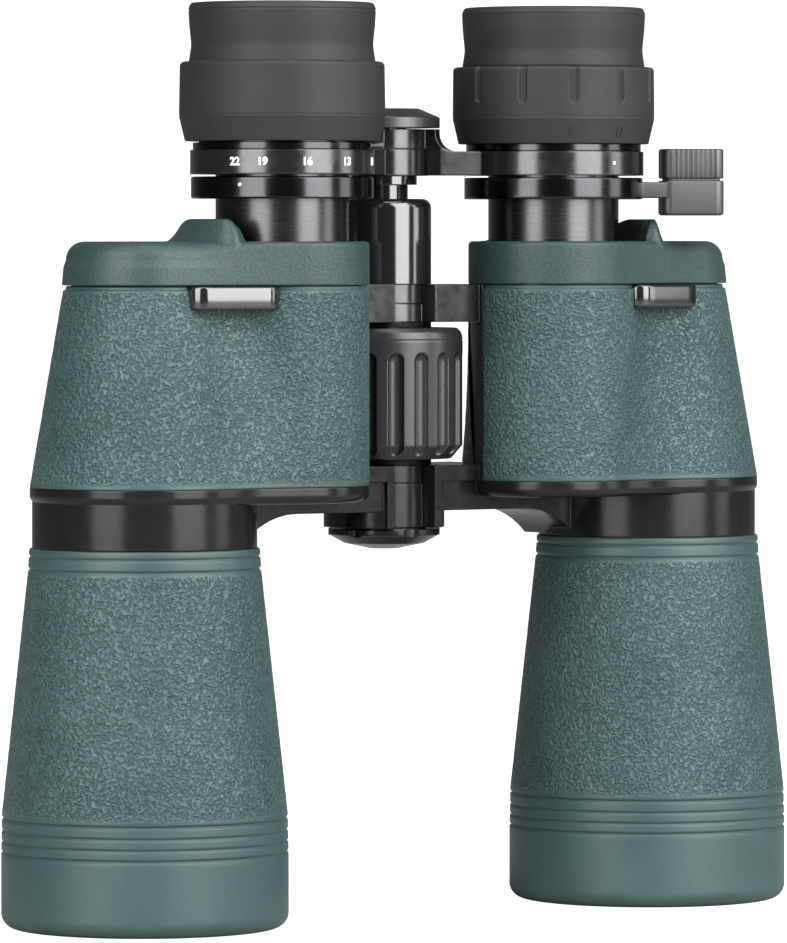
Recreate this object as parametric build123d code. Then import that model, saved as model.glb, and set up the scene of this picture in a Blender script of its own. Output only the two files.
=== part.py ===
from build123d import *
import os
from math import atan2, cos, degrees, hypot, radians, sin, sqrt

# Hand-held zoom binoculars, 10-22 x 50, in millimetres.
# +Z runs along the two optical axes from the objectives up to the eyepieces, and the
# binoculars stand on their objective rims at z = 0. +X is the right barrel's side. The barrels
# fold towards -Y about the hinge axis, which stands between them.

# ---------------------------------------------------------------- driving dimensions
OBJECTIVE_X = 67.0               # half the distance between the objective axes
EYE_X, EYE_Y = 36.05, -7.1       # eyepiece axis of the right barrel
HINGE_Y = 7.0                    # hinge axis is at x = 0
OVERALL_HEIGHT = 200.6

# Objective barrel
HOOD_R, HOOD_TOP = 31.2, 16.0
HOOD_FILLET = 3.3
GROOVE_DEPTH = 0.45
CONE_LOW_Z, CONE_LOW_R = 24.7, 31.0
CONE_TOP_Z, CONE_TOP_R = 77.9, 25.3
ARMOUR_TOP_Z, ARMOUR_TOP_R = 82.4, 25.0
BARREL_SKIN = 2.7                # rubber on the objective tube
TUBE_LOW_Z, TUBE_TOP_Z = 2.5, 92.0
MOUTH_R = HOOD_R - BARREL_SKIN   # outside of the tube at its wide end
SHOULDER_R = ARMOUR_TOP_R - BARREL_SKIN + 0.5
LIP_R = 26.3                     # front edge of the rubber hood
GROOVES = (16.5, 18.7, 21.3, 23.8, 78.0, 80.8)   # heights of the moulded grooves
LENS_R = 25.0                    # 50 mm objective
LENS_SEAT_Z = 25.0
OBJECTIVE_GLASS_Z = (14.0, 18.6, 24.9)   # front, cemented joint and rear of the objective
OBJECTIVE_SAG = 2.4
RETAINER_BORE_R = 23.4

# Body casting
SOCKET_R, SOCKET_BORE_R = 24.4, 22.35
SOCKET_LOW_Z = 82.5
BASE_LOW_Z, BASE_TOP_Z = 92.0, 95.5
SHELL_TOP_Z = 139.2
WALL = 1.7
PRISM_SKIN = 1.6                 # rubber on the prism housing
SKIN_TOP_Z = 138.3
O_LOBE_LOW_R, O_LOBE_TOP_R = 24.9, 17.6
E_LOBE_R = 19.0
FRONT_LOW_R, FRONT_TOP_R = 40.0, 14.0    # hollow between the lobes on the front
BACK_LOW_R, BACK_TOP_R = 40.0, 42.0      # full curve of the back
LIGHT_HOLE_R = 16.5
BARE_FROM, BARE_TO = 122.0, 180.0    # uncovered metal of the hinge side, degrees about the eyepiece axis

# Prism cover
COVER_TOP_Z = 148.7
COVER_O_LOBE_LOW_R, COVER_O_LOBE_TOP_R = 17.9, 16.9
COVER_FRONT_R = 400.0
COVER_WALL = 2.2
COVER_EDGE = 1.2
COLLAR_TOP_Z = 153.6
COLLAR_R, POCKET_R = 23.7, 21.8
COLLAR_FROM, COLLAR_TO = -29.0, 95.0     # raised crescent, degrees about the eyepiece axis
COLLAR_SLOPE = 14.5                      # its back end falls at this angle
GUIDE_R = 16.2

# Prisms
PRISM_HALF_WIDTH = 8.0
SHELF_LOW_Z, SHELF_TOP_Z = 116.7, 118.3
POST_R = 2.4
CLIP_THICK, CLIP_HALF_WIDTH = 0.7, 2.0

# Hinge
KNUCKLE_R, HUB_R = 9.9, 13.45
PIVOT_R = 7.0
RUNNING = 0.05                   # radial clearance of a running fit
PART_GAP = 0.3                   # clearance between curved faces that pass each other
ARM_FRONT_Y = -5.35
LOWER_HINGE = (85.3, 95.1, 99.1)     # bottom, split and top
UPPER_HINGE = (130.8, 134.8, 139.2)
RECESS_HALF_ANGLE = 23.8
BACK_HALF_ANGLE = 12.0
ARM_INSET = 1.2                  # the lower arm's front is framed this deep
FOOT_R, FOOT_Z = 9.4, 83.7       # foot of the hinge pin
CAP_R = 12.55
TRIPOD_R = 2.55                  # tap drill of the 1/4 inch thread

# Strap lugs
LUG_PLACE, LUG_TURN = (57.2, -21.9), 12.4
LUG_WIDTH, LUG_LOW_Z, LUG_TOP_Z = 20.8, 134.0, 139.0
LUG_HALF_THICK, LUG_FOOT = 0.9, 2.2

# Focusing
WHEEL_R = 17.5
WHEEL_LOW_Z, WHEEL_TOP_Z = 100.5, 129.5
FLUTES = 18
STEM_R = 5.3
SLEEVE_R, SLEEVE_TOP_Z = 10.5, 158.1
STEM_LOW_Z = 104.0

# Bridge
BRIDGE_LOW_Z, BRIDGE_TOP_Z = 163.3, 168.6
BRIDGE_HUB = (163.2, 169.0, 173.5)
BRIDGE_HUB_R, BRIDGE_RING_R = 12.4, 20.1
BRIDGE_RECESS_HALF_ANGLE = 33.1
BRIDGE_GUSSET = 4.0              # radius of the fillet from an arm's top up to the hub
BRIDGE_PIN_R = 5.0

# Eyepieces
TUBE_R, TUBE_BORE_R = 14.55, 13.2
EYE_TUBE_LOW_Z, EYE_TUBE_TOP_Z = 137.6, 171.0
ZOOM_RING_R = 19.9
ZOOM_LOW_Z, ZOOM_TOP_Z = 158.0, 162.8
HEAD_R, EYE_CELL_R = 18.2, 14.55
HEAD_TOP_Z = 192.0
FLANGE_R = 22.5
DIOPTER_SLOTS, DIOPTER_SLOT_Z, DIOPTER_SLOT_HALF = 12, 179.4, 0.9
DIOPTER_ZERO = 40.8              # its zero mark, degrees from the front
FLANGE_LOW_Z, FLANGE_TOP_LEFT, FLANGE_TOP_RIGHT = 170.3, 187.8, 187.4
EYE_GLASS = (12.9, 180.9, 187.5, 1.6)    # radius, front, rear and sag
ZOOM_GLASS = (10.6, 152.0, 157.5, 1.3)
ZOOM_TURN = 108.0                # degrees from the highest to the lowest power
ZOOM_TRAVEL = 10.0               # slide of the zoom lens cell over that turn
PIN_Z = 154.0
PIN_R = 0.9
DRIVE_Z, DRIVE_REACH = 160.4, 15.5   # pin from the zoom cam into the zoom ring
CAM_BORE_R, CELL_R = 12.1, 12.0
LEVER_ANGLE = -25.0
KNOB_SPAN, KNOB_HALF = (24.3, 38.2), 4.0     # reach from the eyepiece axis, and half width
KNOB_Z = (154.4, 162.2, 169.3)               # foot, joint and top of the lever's knob
LEVER_RIBS = 9
FRONT_ANGLE = -123.7             # side that faces the viewer of the dial marks

HINGE = (0.0, HINGE_Y)
O_AXIS = (OBJECTIVE_X, 0.0)
E_AXIS = (EYE_X, EYE_Y)

# Light path from the objective axis to the eyepiece axis through the two prisms
LINK = (O_AXIS[0] - E_AXIS[0], O_AXIS[1] - E_AXIS[1])
LINK_LENGTH = hypot(*LINK)
LINK_ANGLE = atan2(LINK[1], LINK[0])
HALF_LEG = LINK_LENGTH / sqrt(2) / 2
TURN_POINT = ((O_AXIS[0] + E_AXIS[0] - LINK[1]) / 2, (O_AXIS[1] + E_AXIS[1] + LINK[0]) / 2)

os.makedirs("parts", exist_ok=True)


# ---------------------------------------------------------------- helpers
def at(place, shape):
    """The shape moved so that its own Z axis stands on a point of the XY plane."""
    return Pos(place[0], place[1], 0) * shape


def disc(radius, low, high):
    """A cylinder on the Z axis between two heights."""
    return Pos(0, 0, low) * Cylinder(radius, high - low, align=(Align.CENTER, Align.CENTER, Align.MIN))


def ring(outer, inner, low, high):
    return disc(outer, low, high) - disc(inner, low - 1, high + 1)


def turned(points):
    """A body turned about Z from an outline of (radius, height) points."""
    outline = Polyline([(r, 0, z) for r, z in points], close=True)
    return revolve(make_face(outline), Axis.Z)


def block(x0, x1, y0, y1, z0, z1):
    corner = (Align.MIN, Align.MIN, Align.MIN)
    return Pos(x0, y0, z0) * Box(x1 - x0, y1 - y0, z1 - z0, align=corner)


def wedge(start, end, radius, low, high):
    """A pie slice about Z between two angles in degrees."""
    steps = max(2, int(abs(end - start) // 40) + 2)
    angles = [radians(start + (end - start) * i / (steps - 1)) for i in range(steps)]
    rim = [(radius * cos(a), radius * sin(a)) for a in angles]
    face = make_face(Polyline([(0, 0)] + rim, close=True))
    return Pos(0, 0, low) * extrude(face, high - low)


def polar(centre, radius, angle):
    return (centre[0] + radius * cos(radians(angle)), centre[1] + radius * sin(radians(angle)))


def mirrored(shape):
    """The left-hand version of a right-hand shape."""
    return mirror(shape, about=Plane.YZ)


def save(name, shape):
    """Writes one node; a group of separate solids becomes one compound."""
    solids = shape.solids()
    item = solids[0] if len(solids) == 1 else Compound(children=list(solids))
    export_step(item, f"parts/{name}.step")


def save_pair(name, shape):
    save(f"right_{name}", shape)
    save(f"left_{name}", mirrored(shape))


# ---------------------------------------------------------------- housing outline
def outline(o_radius, e_radius, front_radius, back_radius, height):
    """Closed outline around both axes: two lobes, a hollow front arc and a full back arc."""

    def arc_centre(from_e, from_o, side):
        along = (LINK_LENGTH**2 + from_e**2 - from_o**2) / (2 * LINK_LENGTH)
        across = side * sqrt(from_e**2 - along**2)
        turn_cos, turn_sin = cos(LINK_ANGLE), sin(LINK_ANGLE)
        return (E_AXIS[0] + along * turn_cos - across * turn_sin,
                E_AXIS[1] + along * turn_sin + across * turn_cos)

    def towards(start, goal, distance):
        length = hypot(goal[0] - start[0], goal[1] - start[1])
        return (start[0] + (goal[0] - start[0]) * distance / length,
                start[1] + (goal[1] - start[1]) * distance / length)

    def middle(centre, radius, first, last, far_from):
        mid = ((first[0] + last[0]) / 2, (first[1] + last[1]) / 2)
        point = towards(centre, mid, radius)
        other = towards(centre, mid, -radius)
        gap = hypot(point[0] - far_from[0], point[1] - far_from[1])
        other_gap = hypot(other[0] - far_from[0], other[1] - far_from[1])
        return point if gap > other_gap else other

    front = arc_centre(e_radius + front_radius, o_radius + front_radius, -1)
    front_e = towards(E_AXIS, front, e_radius)
    front_o = towards(O_AXIS, front, o_radius)
    front_mid = towards(front, ((front_e[0] + front_o[0]) / 2, (front_e[1] + front_o[1]) / 2), front_radius)
    back = arc_centre(back_radius - e_radius, back_radius - o_radius, -1)
    back_e = towards(back, E_AXIS, back_radius)
    back_o = towards(back, O_AXIS, back_radius)
    back_mid = towards(back, ((back_e[0] + back_o[0]) / 2, (back_e[1] + back_o[1]) / 2), back_radius)
    e_mid = middle(E_AXIS, e_radius, front_e, back_e, O_AXIS)
    o_mid = middle(O_AXIS, o_radius, front_o, back_o, E_AXIS)
    arcs = [
        ThreePointArc(front_e, front_mid, front_o),
        ThreePointArc(front_o, o_mid, back_o),
        ThreePointArc(back_o, back_mid, back_e),
        ThreePointArc(back_e, e_mid, front_e),
    ]
    return Pos(0, 0, height) * make_face(Wire(arcs))


def housing_section(inset, height):
    """The drafted prism housing's outline at a height, drawn in by an inset."""
    part = (height - BASE_TOP_Z) / (SKIN_TOP_Z - BASE_TOP_Z)
    o_radius = O_LOBE_LOW_R + (O_LOBE_TOP_R - O_LOBE_LOW_R) * part
    front = FRONT_LOW_R + (FRONT_TOP_R - FRONT_LOW_R) * part
    back = BACK_LOW_R + (BACK_TOP_R - BACK_LOW_R) * part
    return outline(o_radius - inset, E_LOBE_R - inset, front + inset, back - inset, height)


def housing(inset, low=BASE_TOP_Z, high=SKIN_TOP_Z):
    return loft([housing_section(inset, low), housing_section(inset, high)])


def housing_core():
    """The outer faces of the casting's walls under the rubber skin."""
    return housing(PRISM_SKIN, BASE_TOP_Z, SHELL_TOP_Z)


def between(first, second, height, shape):
    """A shape turned and moved to the middle of a line between two axes, at a height."""
    angle = degrees(atan2(second[1] - first[1], second[0] - first[0]))
    middle = ((first[0] + second[0]) / 2, (first[1] + second[1]) / 2)
    return Pos(middle[0], middle[1], height) * Rot(0, 0, angle) * shape


# ---------------------------------------------------------------- objective barrel
def objective_armour():
    """The rubber sleeve of the barrel, from its hood and front lip to the socket ring."""
    foot = HOOD_R - HOOD_FILLET
    shell = turned([
        (LIP_R, 0), (HOOD_R, 0), (HOOD_R, HOOD_TOP), (CONE_LOW_R, CONE_LOW_Z), (CONE_TOP_R, CONE_TOP_Z),
        (ARMOUR_TOP_R, ARMOUR_TOP_Z), (SHOULDER_R, ARMOUR_TOP_Z), (SHOULDER_R, CONE_TOP_Z),
        (MOUTH_R, CONE_LOW_Z), (MOUTH_R, TUBE_LOW_Z), (LIP_R, TUBE_LOW_Z),
    ])
    rim = shell.edges().filter_by(GeomType.CIRCLE).filter_by(lambda e: e.radius > foot and e.center().Z < 0.1)
    shell = fillet(rim, HOOD_FILLET)
    for height in GROOVES:
        radius = HOOD_R if height < CONE_LOW_Z else CONE_TOP_R
        shell -= Pos(0, 0, height) * Torus(radius, GROOVE_DEPTH)
    return at(O_AXIS, shell)


def objective_tube():
    """The metal tube under the rubber, with the lens seat inside its wide end."""
    bore = LENS_R + RUNNING
    seat, throat = LENS_R - 1.0, SOCKET_BORE_R - 1.85
    return at(O_AXIS, turned([
        (bore, TUBE_LOW_Z), (MOUTH_R, TUBE_LOW_Z), (MOUTH_R, CONE_LOW_Z), (SHOULDER_R, CONE_TOP_Z),
        (SHOULDER_R, SOCKET_LOW_Z), (SOCKET_BORE_R, SOCKET_LOW_Z), (SOCKET_BORE_R, TUBE_TOP_Z),
        (throat, TUBE_TOP_Z), (throat, CONE_TOP_Z), (seat, LENS_SEAT_Z + 3), (seat, LENS_SEAT_Z),
        (bore, LENS_SEAT_Z),
    ]))


def ball(edge_radius, edge_z, sag):
    """The sphere whose surface passes through a rim and bulges past it by sag (negative: below)."""
    size = (edge_radius**2 + sag**2) / (2 * abs(sag))
    centre = edge_z + sag - size if sag > 0 else edge_z + sag + size
    return Pos(0, 0, centre) * Sphere(size)


def cemented_pair(radius, low, middle, high, sag):
    """A convex front glass and the meniscus glass cemented behind it, as two solids."""
    front = disc(radius, low, middle + sag) & ball(radius, low + sag, -sag) & ball(radius, middle, sag)
    rear = disc(radius, middle, high) - ball(radius, middle, sag)
    return front, rear


def objective_retainer():
    """The threaded ring in front of the objective, with two slots for its spanner."""
    low = OBJECTIVE_GLASS_Z[0] - 3.0
    body = ring(LENS_R, RETAINER_BORE_R, low, OBJECTIVE_GLASS_Z[0])
    for angle in (0, 180):
        body -= Rot(0, 0, angle) * block(RETAINER_BORE_R - 1, LENS_R + 1, -1.2, 1.2, low - 1, low + 1.0)
    return at(O_AXIS, body)


# ---------------------------------------------------------------- body casting and its covers
def knuckle_arm(low, high, own_low, own_high, hub_r, half_angle, front_y, reach):
    """One side of a hinge: a hub sector, a flat-fronted arm and this side's own knuckle."""
    sector = wedge(-90 + half_angle, 90 - BACK_HALF_ANGLE, 60, low, high)
    plan = disc(hub_r, low, high) + block(0, reach, front_y - HINGE_Y, 9.0, low, high)
    arm = plan & sector
    arm -= disc(KNUCKLE_R + PART_GAP, low - 1, high + 1)
    arm += disc(KNUCKLE_R, own_low, own_high) & block(-20, 20, -20, 20, low, high)
    webs = ring(KNUCKLE_R + PART_GAP + 0.5, KNUCKLE_R - 0.5, own_low, own_high)
    return at(HINGE, arm + (webs & sector))


def bore_hub(shape, radius):
    return shape - at(HINGE, disc(radius, 60, 190))


def body_casting(side):
    """The die-cast prism housing with its socket ring, base plate and hinge arms.

    The right casting has the lower knuckle of each hinge and runs on the pins, and the left
    casting has the upper knuckle and holds them.
    """
    low, split, top = LOWER_HINGE
    high_low, high_split, high_top = UPPER_HINGE
    shell = housing_core()
    bare = at(E_AXIS, wedge(BARE_FROM + 1, BARE_TO - 1, 40, BASE_TOP_Z, SHELL_TOP_Z))
    shell += housing(0.0, BASE_TOP_Z, SHELL_TOP_Z) & bare
    foot = outline(O_LOBE_LOW_R, E_LOBE_R, FRONT_LOW_R, BACK_LOW_R, BASE_LOW_Z)
    plate = extrude(foot, BASE_TOP_Z - BASE_LOW_Z)
    plate = fillet(plate.edges().group_by(Axis.Z)[0], 1.8)
    body = shell + plate + at(O_AXIS, disc(SOCKET_R, SOCKET_LOW_Z, BASE_TOP_Z))
    body += lower_arm_web()
    if side == "right":
        lower = knuckle_arm(low, top, low, split, HUB_R, RECESS_HALF_ANGLE, ARM_FRONT_Y, 24.0)
        upper = knuckle_arm(high_low, high_top - 0.1, high_low, high_split, HUB_R, RECESS_HALF_ANGLE,
                            ARM_FRONT_Y, 24.0)
        pin_bore = PIVOT_R + RUNNING
    else:
        lower = knuckle_arm(low, top, split + 0.1, top, HUB_R, RECESS_HALF_ANGLE, ARM_FRONT_Y, 24.0)
        upper = knuckle_arm(high_low, high_top, high_split + 0.1, high_top, HUB_R, RECESS_HALF_ANGLE,
                            ARM_FRONT_Y, 24.0)
        pin_bore = PIVOT_R
    hub = at(HINGE, disc(HUB_R, low - 1, top))
    lower -= block(7.3, 30, ARM_FRONT_Y - 1, ARM_FRONT_Y + ARM_INSET, low - 1, BASE_TOP_Z + 0.1) - hub
    lower -= block(7.3, 30, ARM_FRONT_Y - 1, 40, low - 1, 89.0) - hub
    body += bore_hub(lower, pin_bore) + bore_hub(upper, pin_bore)
    body -= housing(PRISM_SKIN + WALL, BASE_TOP_Z, SHELL_TOP_Z + 1)
    body -= at(O_AXIS, disc(SOCKET_BORE_R, SOCKET_LOW_Z - 1, TUBE_TOP_Z))
    body -= at(O_AXIS, disc(LIGHT_HOLE_R, TUBE_TOP_Z - 1, BASE_TOP_Z + 1))
    for place in shelf_posts():
        post = at(place, disc(POST_R, BASE_TOP_Z, SHELF_LOW_Z))
        body += post & housing_core()
    return body


def lower_arm_web():
    """The rib under the base plate that runs from the lower hinge arm down into the socket ring."""
    rib = Wire([
        Line((15, 0, 89.0), (15, 0, 93.0)),
        Line((15, 0, 93.0), (46, 0, 93.0)),
        Line((46, 0, 93.0), (46, 0, 82.8)),
        Line((46, 0, 82.8), (44.2, 0, 82.8)),
        ThreePointArc((44.2, 0, 82.8), (39.5, 0, 86.6), (30, 0, 89.0)),
        Line((30, 0, 89.0), (15, 0, 89.0)),
    ])
    body = extrude(make_face(rib), amount=-20.0)
    lowest = body.bounding_box().min.Y
    body = Pos(0, ARM_FRONT_Y + ARM_INSET - lowest, 0) * body
    return body - at(O_AXIS, disc(SOCKET_BORE_R + 0.5, 80, 95))


def shelf_posts():
    """Three posts of the casting that carry the prism shelf, clear of both prisms."""
    spots = [(15.9, -8.2), (50.3, 4.0), (-11.0, 4.0)]
    turn_cos, turn_sin = cos(LINK_ANGLE), sin(LINK_ANGLE)
    return [
        (E_AXIS[0] + s * turn_cos - t * turn_sin, E_AXIS[1] + s * turn_sin + t * turn_cos)
        for s, t in spots
    ]


def prism_armour():
    skin = housing(0.0) - housing_core() - strap_lug()
    return skin - at(E_AXIS, wedge(BARE_FROM, BARE_TO, 40, BASE_TOP_Z - 1, SKIN_TOP_Z + 1))


def prism_cover():
    """The bezel over the prisms, with a raised crescent on the outer side of the eyepiece."""

    def cover_section(o_radius, inset, height):
        return outline(o_radius - inset, E_LOBE_R - inset, COVER_FRONT_R + inset, BACK_TOP_R - inset, height)

    body = loft([
        cover_section(COVER_O_LOBE_LOW_R, 0.0, SHELL_TOP_Z),
        cover_section(COVER_O_LOBE_TOP_R, 0.0, COVER_TOP_Z),
    ])
    body = fillet(body.edges().group_by(Axis.Z)[-1], COVER_EDGE)
    body += collar() & extrude(cover_section(COVER_O_LOBE_TOP_R, 0.6, COVER_TOP_Z - 3), 12)
    body -= loft([
        cover_section(COVER_O_LOBE_LOW_R, COVER_WALL, SHELL_TOP_Z - 1),
        cover_section(COVER_O_LOBE_TOP_R, COVER_WALL, COVER_TOP_Z - COVER_WALL),
    ])
    return body - at(E_AXIS, disc(GUIDE_R, SHELL_TOP_Z - 2, COVER_TOP_Z + 2))


def collar():
    """The crescent beside the eyepiece: steep in front, sloping away behind."""
    body = ring(COLLAR_R, POCKET_R, COVER_TOP_Z - 3, COLLAR_TOP_Z)
    body &= wedge(COLLAR_FROM, COLLAR_TO, 40, COVER_TOP_Z - 4, COLLAR_TOP_Z + 1)
    ramp = Pos(0, 1.0, COLLAR_TOP_Z) * Rot(-COLLAR_SLOPE, 0, 0) * block(-40, 40, 0, 60, 0, 40)
    return at(E_AXIS, body - ramp)


def eyepiece_guide():
    return at(E_AXIS, ring(GUIDE_R, TUBE_R + RUNNING, SHELL_TOP_Z, COVER_TOP_Z + 0.1))


# ---------------------------------------------------------------- prisms
def porro_prism(first, second, face_z, rise):
    """A right-angle prism with rounded ends; its long face lies level between two axes."""
    width = PRISM_HALF_WIDTH
    length = HALF_LEG + width
    plan = extrude(SlotCenterToCenter(2 * HALF_LEG, 2 * width).face(), length)
    roof = make_face(Polyline([(-length, 0, 0), (length, 0, 0), (0, 0, length)], close=True))
    body = plan & extrude(roof, amount=width + 1, both=True)
    if rise < 0:
        body = Rot(180, 0, 0) * body
    return between(first, second, face_z, body)


def prism_shelf():
    """The plate that carries one prism on each face, with three holes for the light."""
    inset = PRISM_SKIN + WALL + RUNNING
    plate = extrude(housing_section(inset + RUNNING, SHELF_LOW_Z), SHELF_TOP_Z - SHELF_LOW_Z)
    plate &= housing(inset, BASE_TOP_Z, SHELL_TOP_Z)
    for place in (O_AXIS, E_AXIS, TURN_POINT):
        plate -= at(place, disc(PRISM_HALF_WIDTH - 0.6, SHELF_LOW_Z - 1, SHELF_TOP_Z + 1))
    return plate


def prism_clip(first, second, face_z, rise):
    """A sheet strap that stands on the shelf, straddles a prism and presses on its ridge."""
    height = HALF_LEG + PRISM_HALF_WIDTH
    inner = PRISM_HALF_WIDTH + RUNNING
    outer = inner + CLIP_THICK
    half = CLIP_HALF_WIDTH
    strap = block(-half, half, -outer, outer, 0, height + CLIP_THICK)
    strap -= block(-half - 1, half + 1, -inner, inner, -1, height)
    if rise < 0:
        strap = Rot(180, 0, 0) * strap
    return between(first, second, face_z, strap)


# ---------------------------------------------------------------- strap lugs
def strap_lug():
    """A flat bar on two feet; the strap runs down behind the bar."""
    half, thick = LUG_WIDTH / 2, LUG_HALF_THICK
    lug = block(-half, half, -thick, thick, LUG_LOW_Z, LUG_TOP_Z)
    lug += block(-half, -half + LUG_FOOT, -thick, 9.0, LUG_LOW_Z, LUG_TOP_Z)
    lug += block(half - LUG_FOOT, half, -thick, 9.0, LUG_LOW_Z, LUG_TOP_Z)
    front = lug.edges().filter_by(Axis.Z).filter_by(lambda e: e.center().Y < -thick + 0.1)
    lug = fillet(front, 0.8)
    lug = Pos(LUG_PLACE[0], LUG_PLACE[1], 0) * Rot(0, 0, LUG_TURN) * lug
    return lug - housing_core()


# ---------------------------------------------------------------- eyepieces
def eyepiece_tube():
    """Outer tube of an eyepiece, slotted for the zoom cam's drive pin and the cell's guide pin."""
    body = ring(TUBE_R, TUBE_BORE_R, EYE_TUBE_LOW_Z, EYE_TUBE_TOP_Z)
    slot = wedge(90 - 12, 90 + ZOOM_TURN + 12, 30, DRIVE_Z - 1.3, DRIVE_Z + 1.3)
    body -= slot & ring(TUBE_R + 1, TUBE_BORE_R - 1, ZOOM_LOW_Z, ZOOM_TOP_Z)
    guide = block(-1.4, 1.4, TUBE_BORE_R - 1, TUBE_R + 1, PIN_Z - ZOOM_TRAVEL - 1.5, PIN_Z + 1.5)
    return body - guide


def radial_pin(radius, start, end, height):
    """A pin that points along +Y from the eyepiece axis."""
    pin = Cylinder(radius, end - start, align=(Align.CENTER, Align.CENTER, Align.MIN))
    return Pos(0, start, height) * Rot(-90, 0, 0) * pin


def zoom_ring():
    body = ring(ZOOM_RING_R, TUBE_R + RUNNING, ZOOM_LOW_Z, ZOOM_TOP_Z)
    rims = body.edges().filter_by(GeomType.CIRCLE).filter_by(lambda e: e.radius > TUBE_R + 1)
    return chamfer(rims, 0.3) - radial_pin(PIN_R, TUBE_BORE_R, DRIVE_REACH, DRIVE_Z)


def lever(body):
    """Adds the zoom lever: an arm and the lower half of its knob."""
    near, far = KNOB_SPAN
    arm = block(17.5, 30.0, -KNOB_HALF + 0.8, KNOB_HALF - 0.8, ZOOM_LOW_Z, ZOOM_TOP_Z - 1.0)
    knob = block(near, far, -KNOB_HALF, KNOB_HALF, KNOB_Z[0], KNOB_Z[1])
    knob = fillet(knob.edges().filter_by(Axis.Z), 1.2)
    return body + Rot(0, 0, LEVER_ANGLE) * (arm + knob)


def lever_grip():
    """The ribbed thumb piece on the lever's knob."""
    near, far = KNOB_SPAN[0] + 0.6, KNOB_SPAN[1] - 0.4
    half = KNOB_HALF - 0.4
    body = block(near, far, -half, half, KNOB_Z[1], KNOB_Z[2])
    body = fillet(body.edges().filter_by(Axis.Z), 0.9)
    pitch = (far - near) / LEVER_RIBS
    for i in range(1, LEVER_RIBS):
        for side in (-1, 1):
            body -= Pos(near + pitch * i, side * (half + 0.1), KNOB_Z[1]) * Cylinder(0.4, 20)
    return Rot(0, 0, LEVER_ANGLE) * body


def zoom_cam():
    """The sleeve that turns inside the eyepiece tube; its helical slot drives the lens cell."""
    body = ring(TUBE_BORE_R - RUNNING, CAM_BORE_R, 141.0, 163.0)
    margin = 1.4
    rate = ZOOM_TURN / ZOOM_TRAVEL
    low = PIN_Z - ZOOM_TRAVEL - margin
    height = ZOOM_TRAVEL + 2 * margin
    start = 90 - ZOOM_TURN - rate * margin
    section = Pos(0, 0, low) * Rot(0, 0, start) * Pos(12.6, 0, 0) * Rectangle(4.0, 6.9)
    cutter = Solid.extrude_linear_with_rotation(
        section.face(), center=(0, 0, low), normal=(0, 0, height), angle=rate * height)
    body -= cutter
    return body + radial_pin(PIN_R, CAM_BORE_R + 0.2, DRIVE_REACH, DRIVE_Z)


def zoom_lens_cell():
    """The cell that slides in the cam; its pin runs in the cam's and the tube's slots."""
    glass_r, glass_low = ZOOM_GLASS[:2]
    body = ring(CELL_R, glass_r - 1, glass_low - 2, PIN_Z + 4) - disc(glass_r, glass_low, PIN_Z + 5)
    return body + radial_pin(PIN_R, CELL_R - 0.8, TUBE_R - 0.25, PIN_Z)


def lens(radius, low, high, sag):
    """A biconvex lens standing between two heights at its centre."""
    return disc(radius, low, high) & ball(radius, low + sag, -sag) & ball(radius, high - sag, sag)


def eyepiece_head():
    """Threaded head with its thin flange, which carries the eyecup and the eye lens cell."""
    bore = EYE_CELL_R + RUNNING
    low, high = BRIDGE_TOP_Z + 0.1, FLANGE_LOW_Z - 0.1
    return turned([
        (TUBE_R, low), (19.5, low), (19.5, high), (HEAD_R, high), (HEAD_R, HEAD_TOP_Z),
        (bore, HEAD_TOP_Z), (bore, EYE_TUBE_TOP_Z), (TUBE_R, EYE_TUBE_TOP_Z),
    ])


def eye_lens_cell():
    """The cell of the eye lens: a tube, the lens seat and two spanner slots."""
    glass_r, glass_low = EYE_GLASS[:2]
    top = 189.5
    body = ring(EYE_CELL_R, glass_r, 178.0, top)
    body += ring(glass_r + 0.05, glass_r - 1.3, glass_low - 1.4, glass_low + 0.1)
    for angle in (0, 180):
        body -= Rot(0, 0, angle) * block(glass_r - 0.9, EYE_CELL_R + 1, -0.8, 0.8, top - 1.2, top + 1)
    return body


def cup_neck(low):
    """Outline points of the eyecup's neck above its flange, outside then inside."""
    return [(20.3, low + 0.4), (19.8, low + 3.0), (20.2, low + 7.5), (20.4, 199.0), (19.6, OVERALL_HEIGHT),
            (17.6, OVERALL_HEIGHT), (16.6, 199.6), (16.2, 193.0)]


def cup_flange(top):
    """Outline points of the eyecup's grip flange, from its foot to its top."""
    return [(21.2, FLANGE_LOW_Z), (FLANGE_R, 175.9), (FLANGE_R - 0.2, top - 0.8), (FLANGE_R - 0.9, top)]


def left_eyecup():
    outer = cup_flange(FLANGE_TOP_LEFT) + cup_neck(FLANGE_TOP_LEFT)
    return turned([(HEAD_R, FLANGE_LOW_Z)] + outer + [(HEAD_R, HEAD_TOP_Z + 0.2)])


def right_eyecup():
    inner = HEAD_R + 0.1
    low = FLANGE_TOP_RIGHT
    return turned([(inner, low), (20.3, low)] + cup_neck(low) + [(inner, HEAD_TOP_Z + 0.3)])


def diopter_ring():
    """The grip ring under the right eyecup, with round-bottomed slots open at the top."""
    inner = HEAD_R + RUNNING
    top = FLANGE_TOP_RIGHT
    body = turned([(inner, FLANGE_LOW_Z)] + cup_flange(top) + [(inner, top)])
    half = DIOPTER_SLOT_HALF
    near, bottom = FLANGE_R - 0.9, DIOPTER_SLOT_Z + half
    slot = block(near, FLANGE_R + 1.5, -half, half, bottom, top + 1)
    slot += Pos(near + 1.2, 0, bottom) * Rot(0, 90, 0) * Cylinder(half, 2.4)
    for i in range(DIOPTER_SLOTS):
        body -= Rot(0, 0, FRONT_ANGLE + DIOPTER_ZERO + (i + 0.5) * 360 / DIOPTER_SLOTS) * slot
    return body


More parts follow.
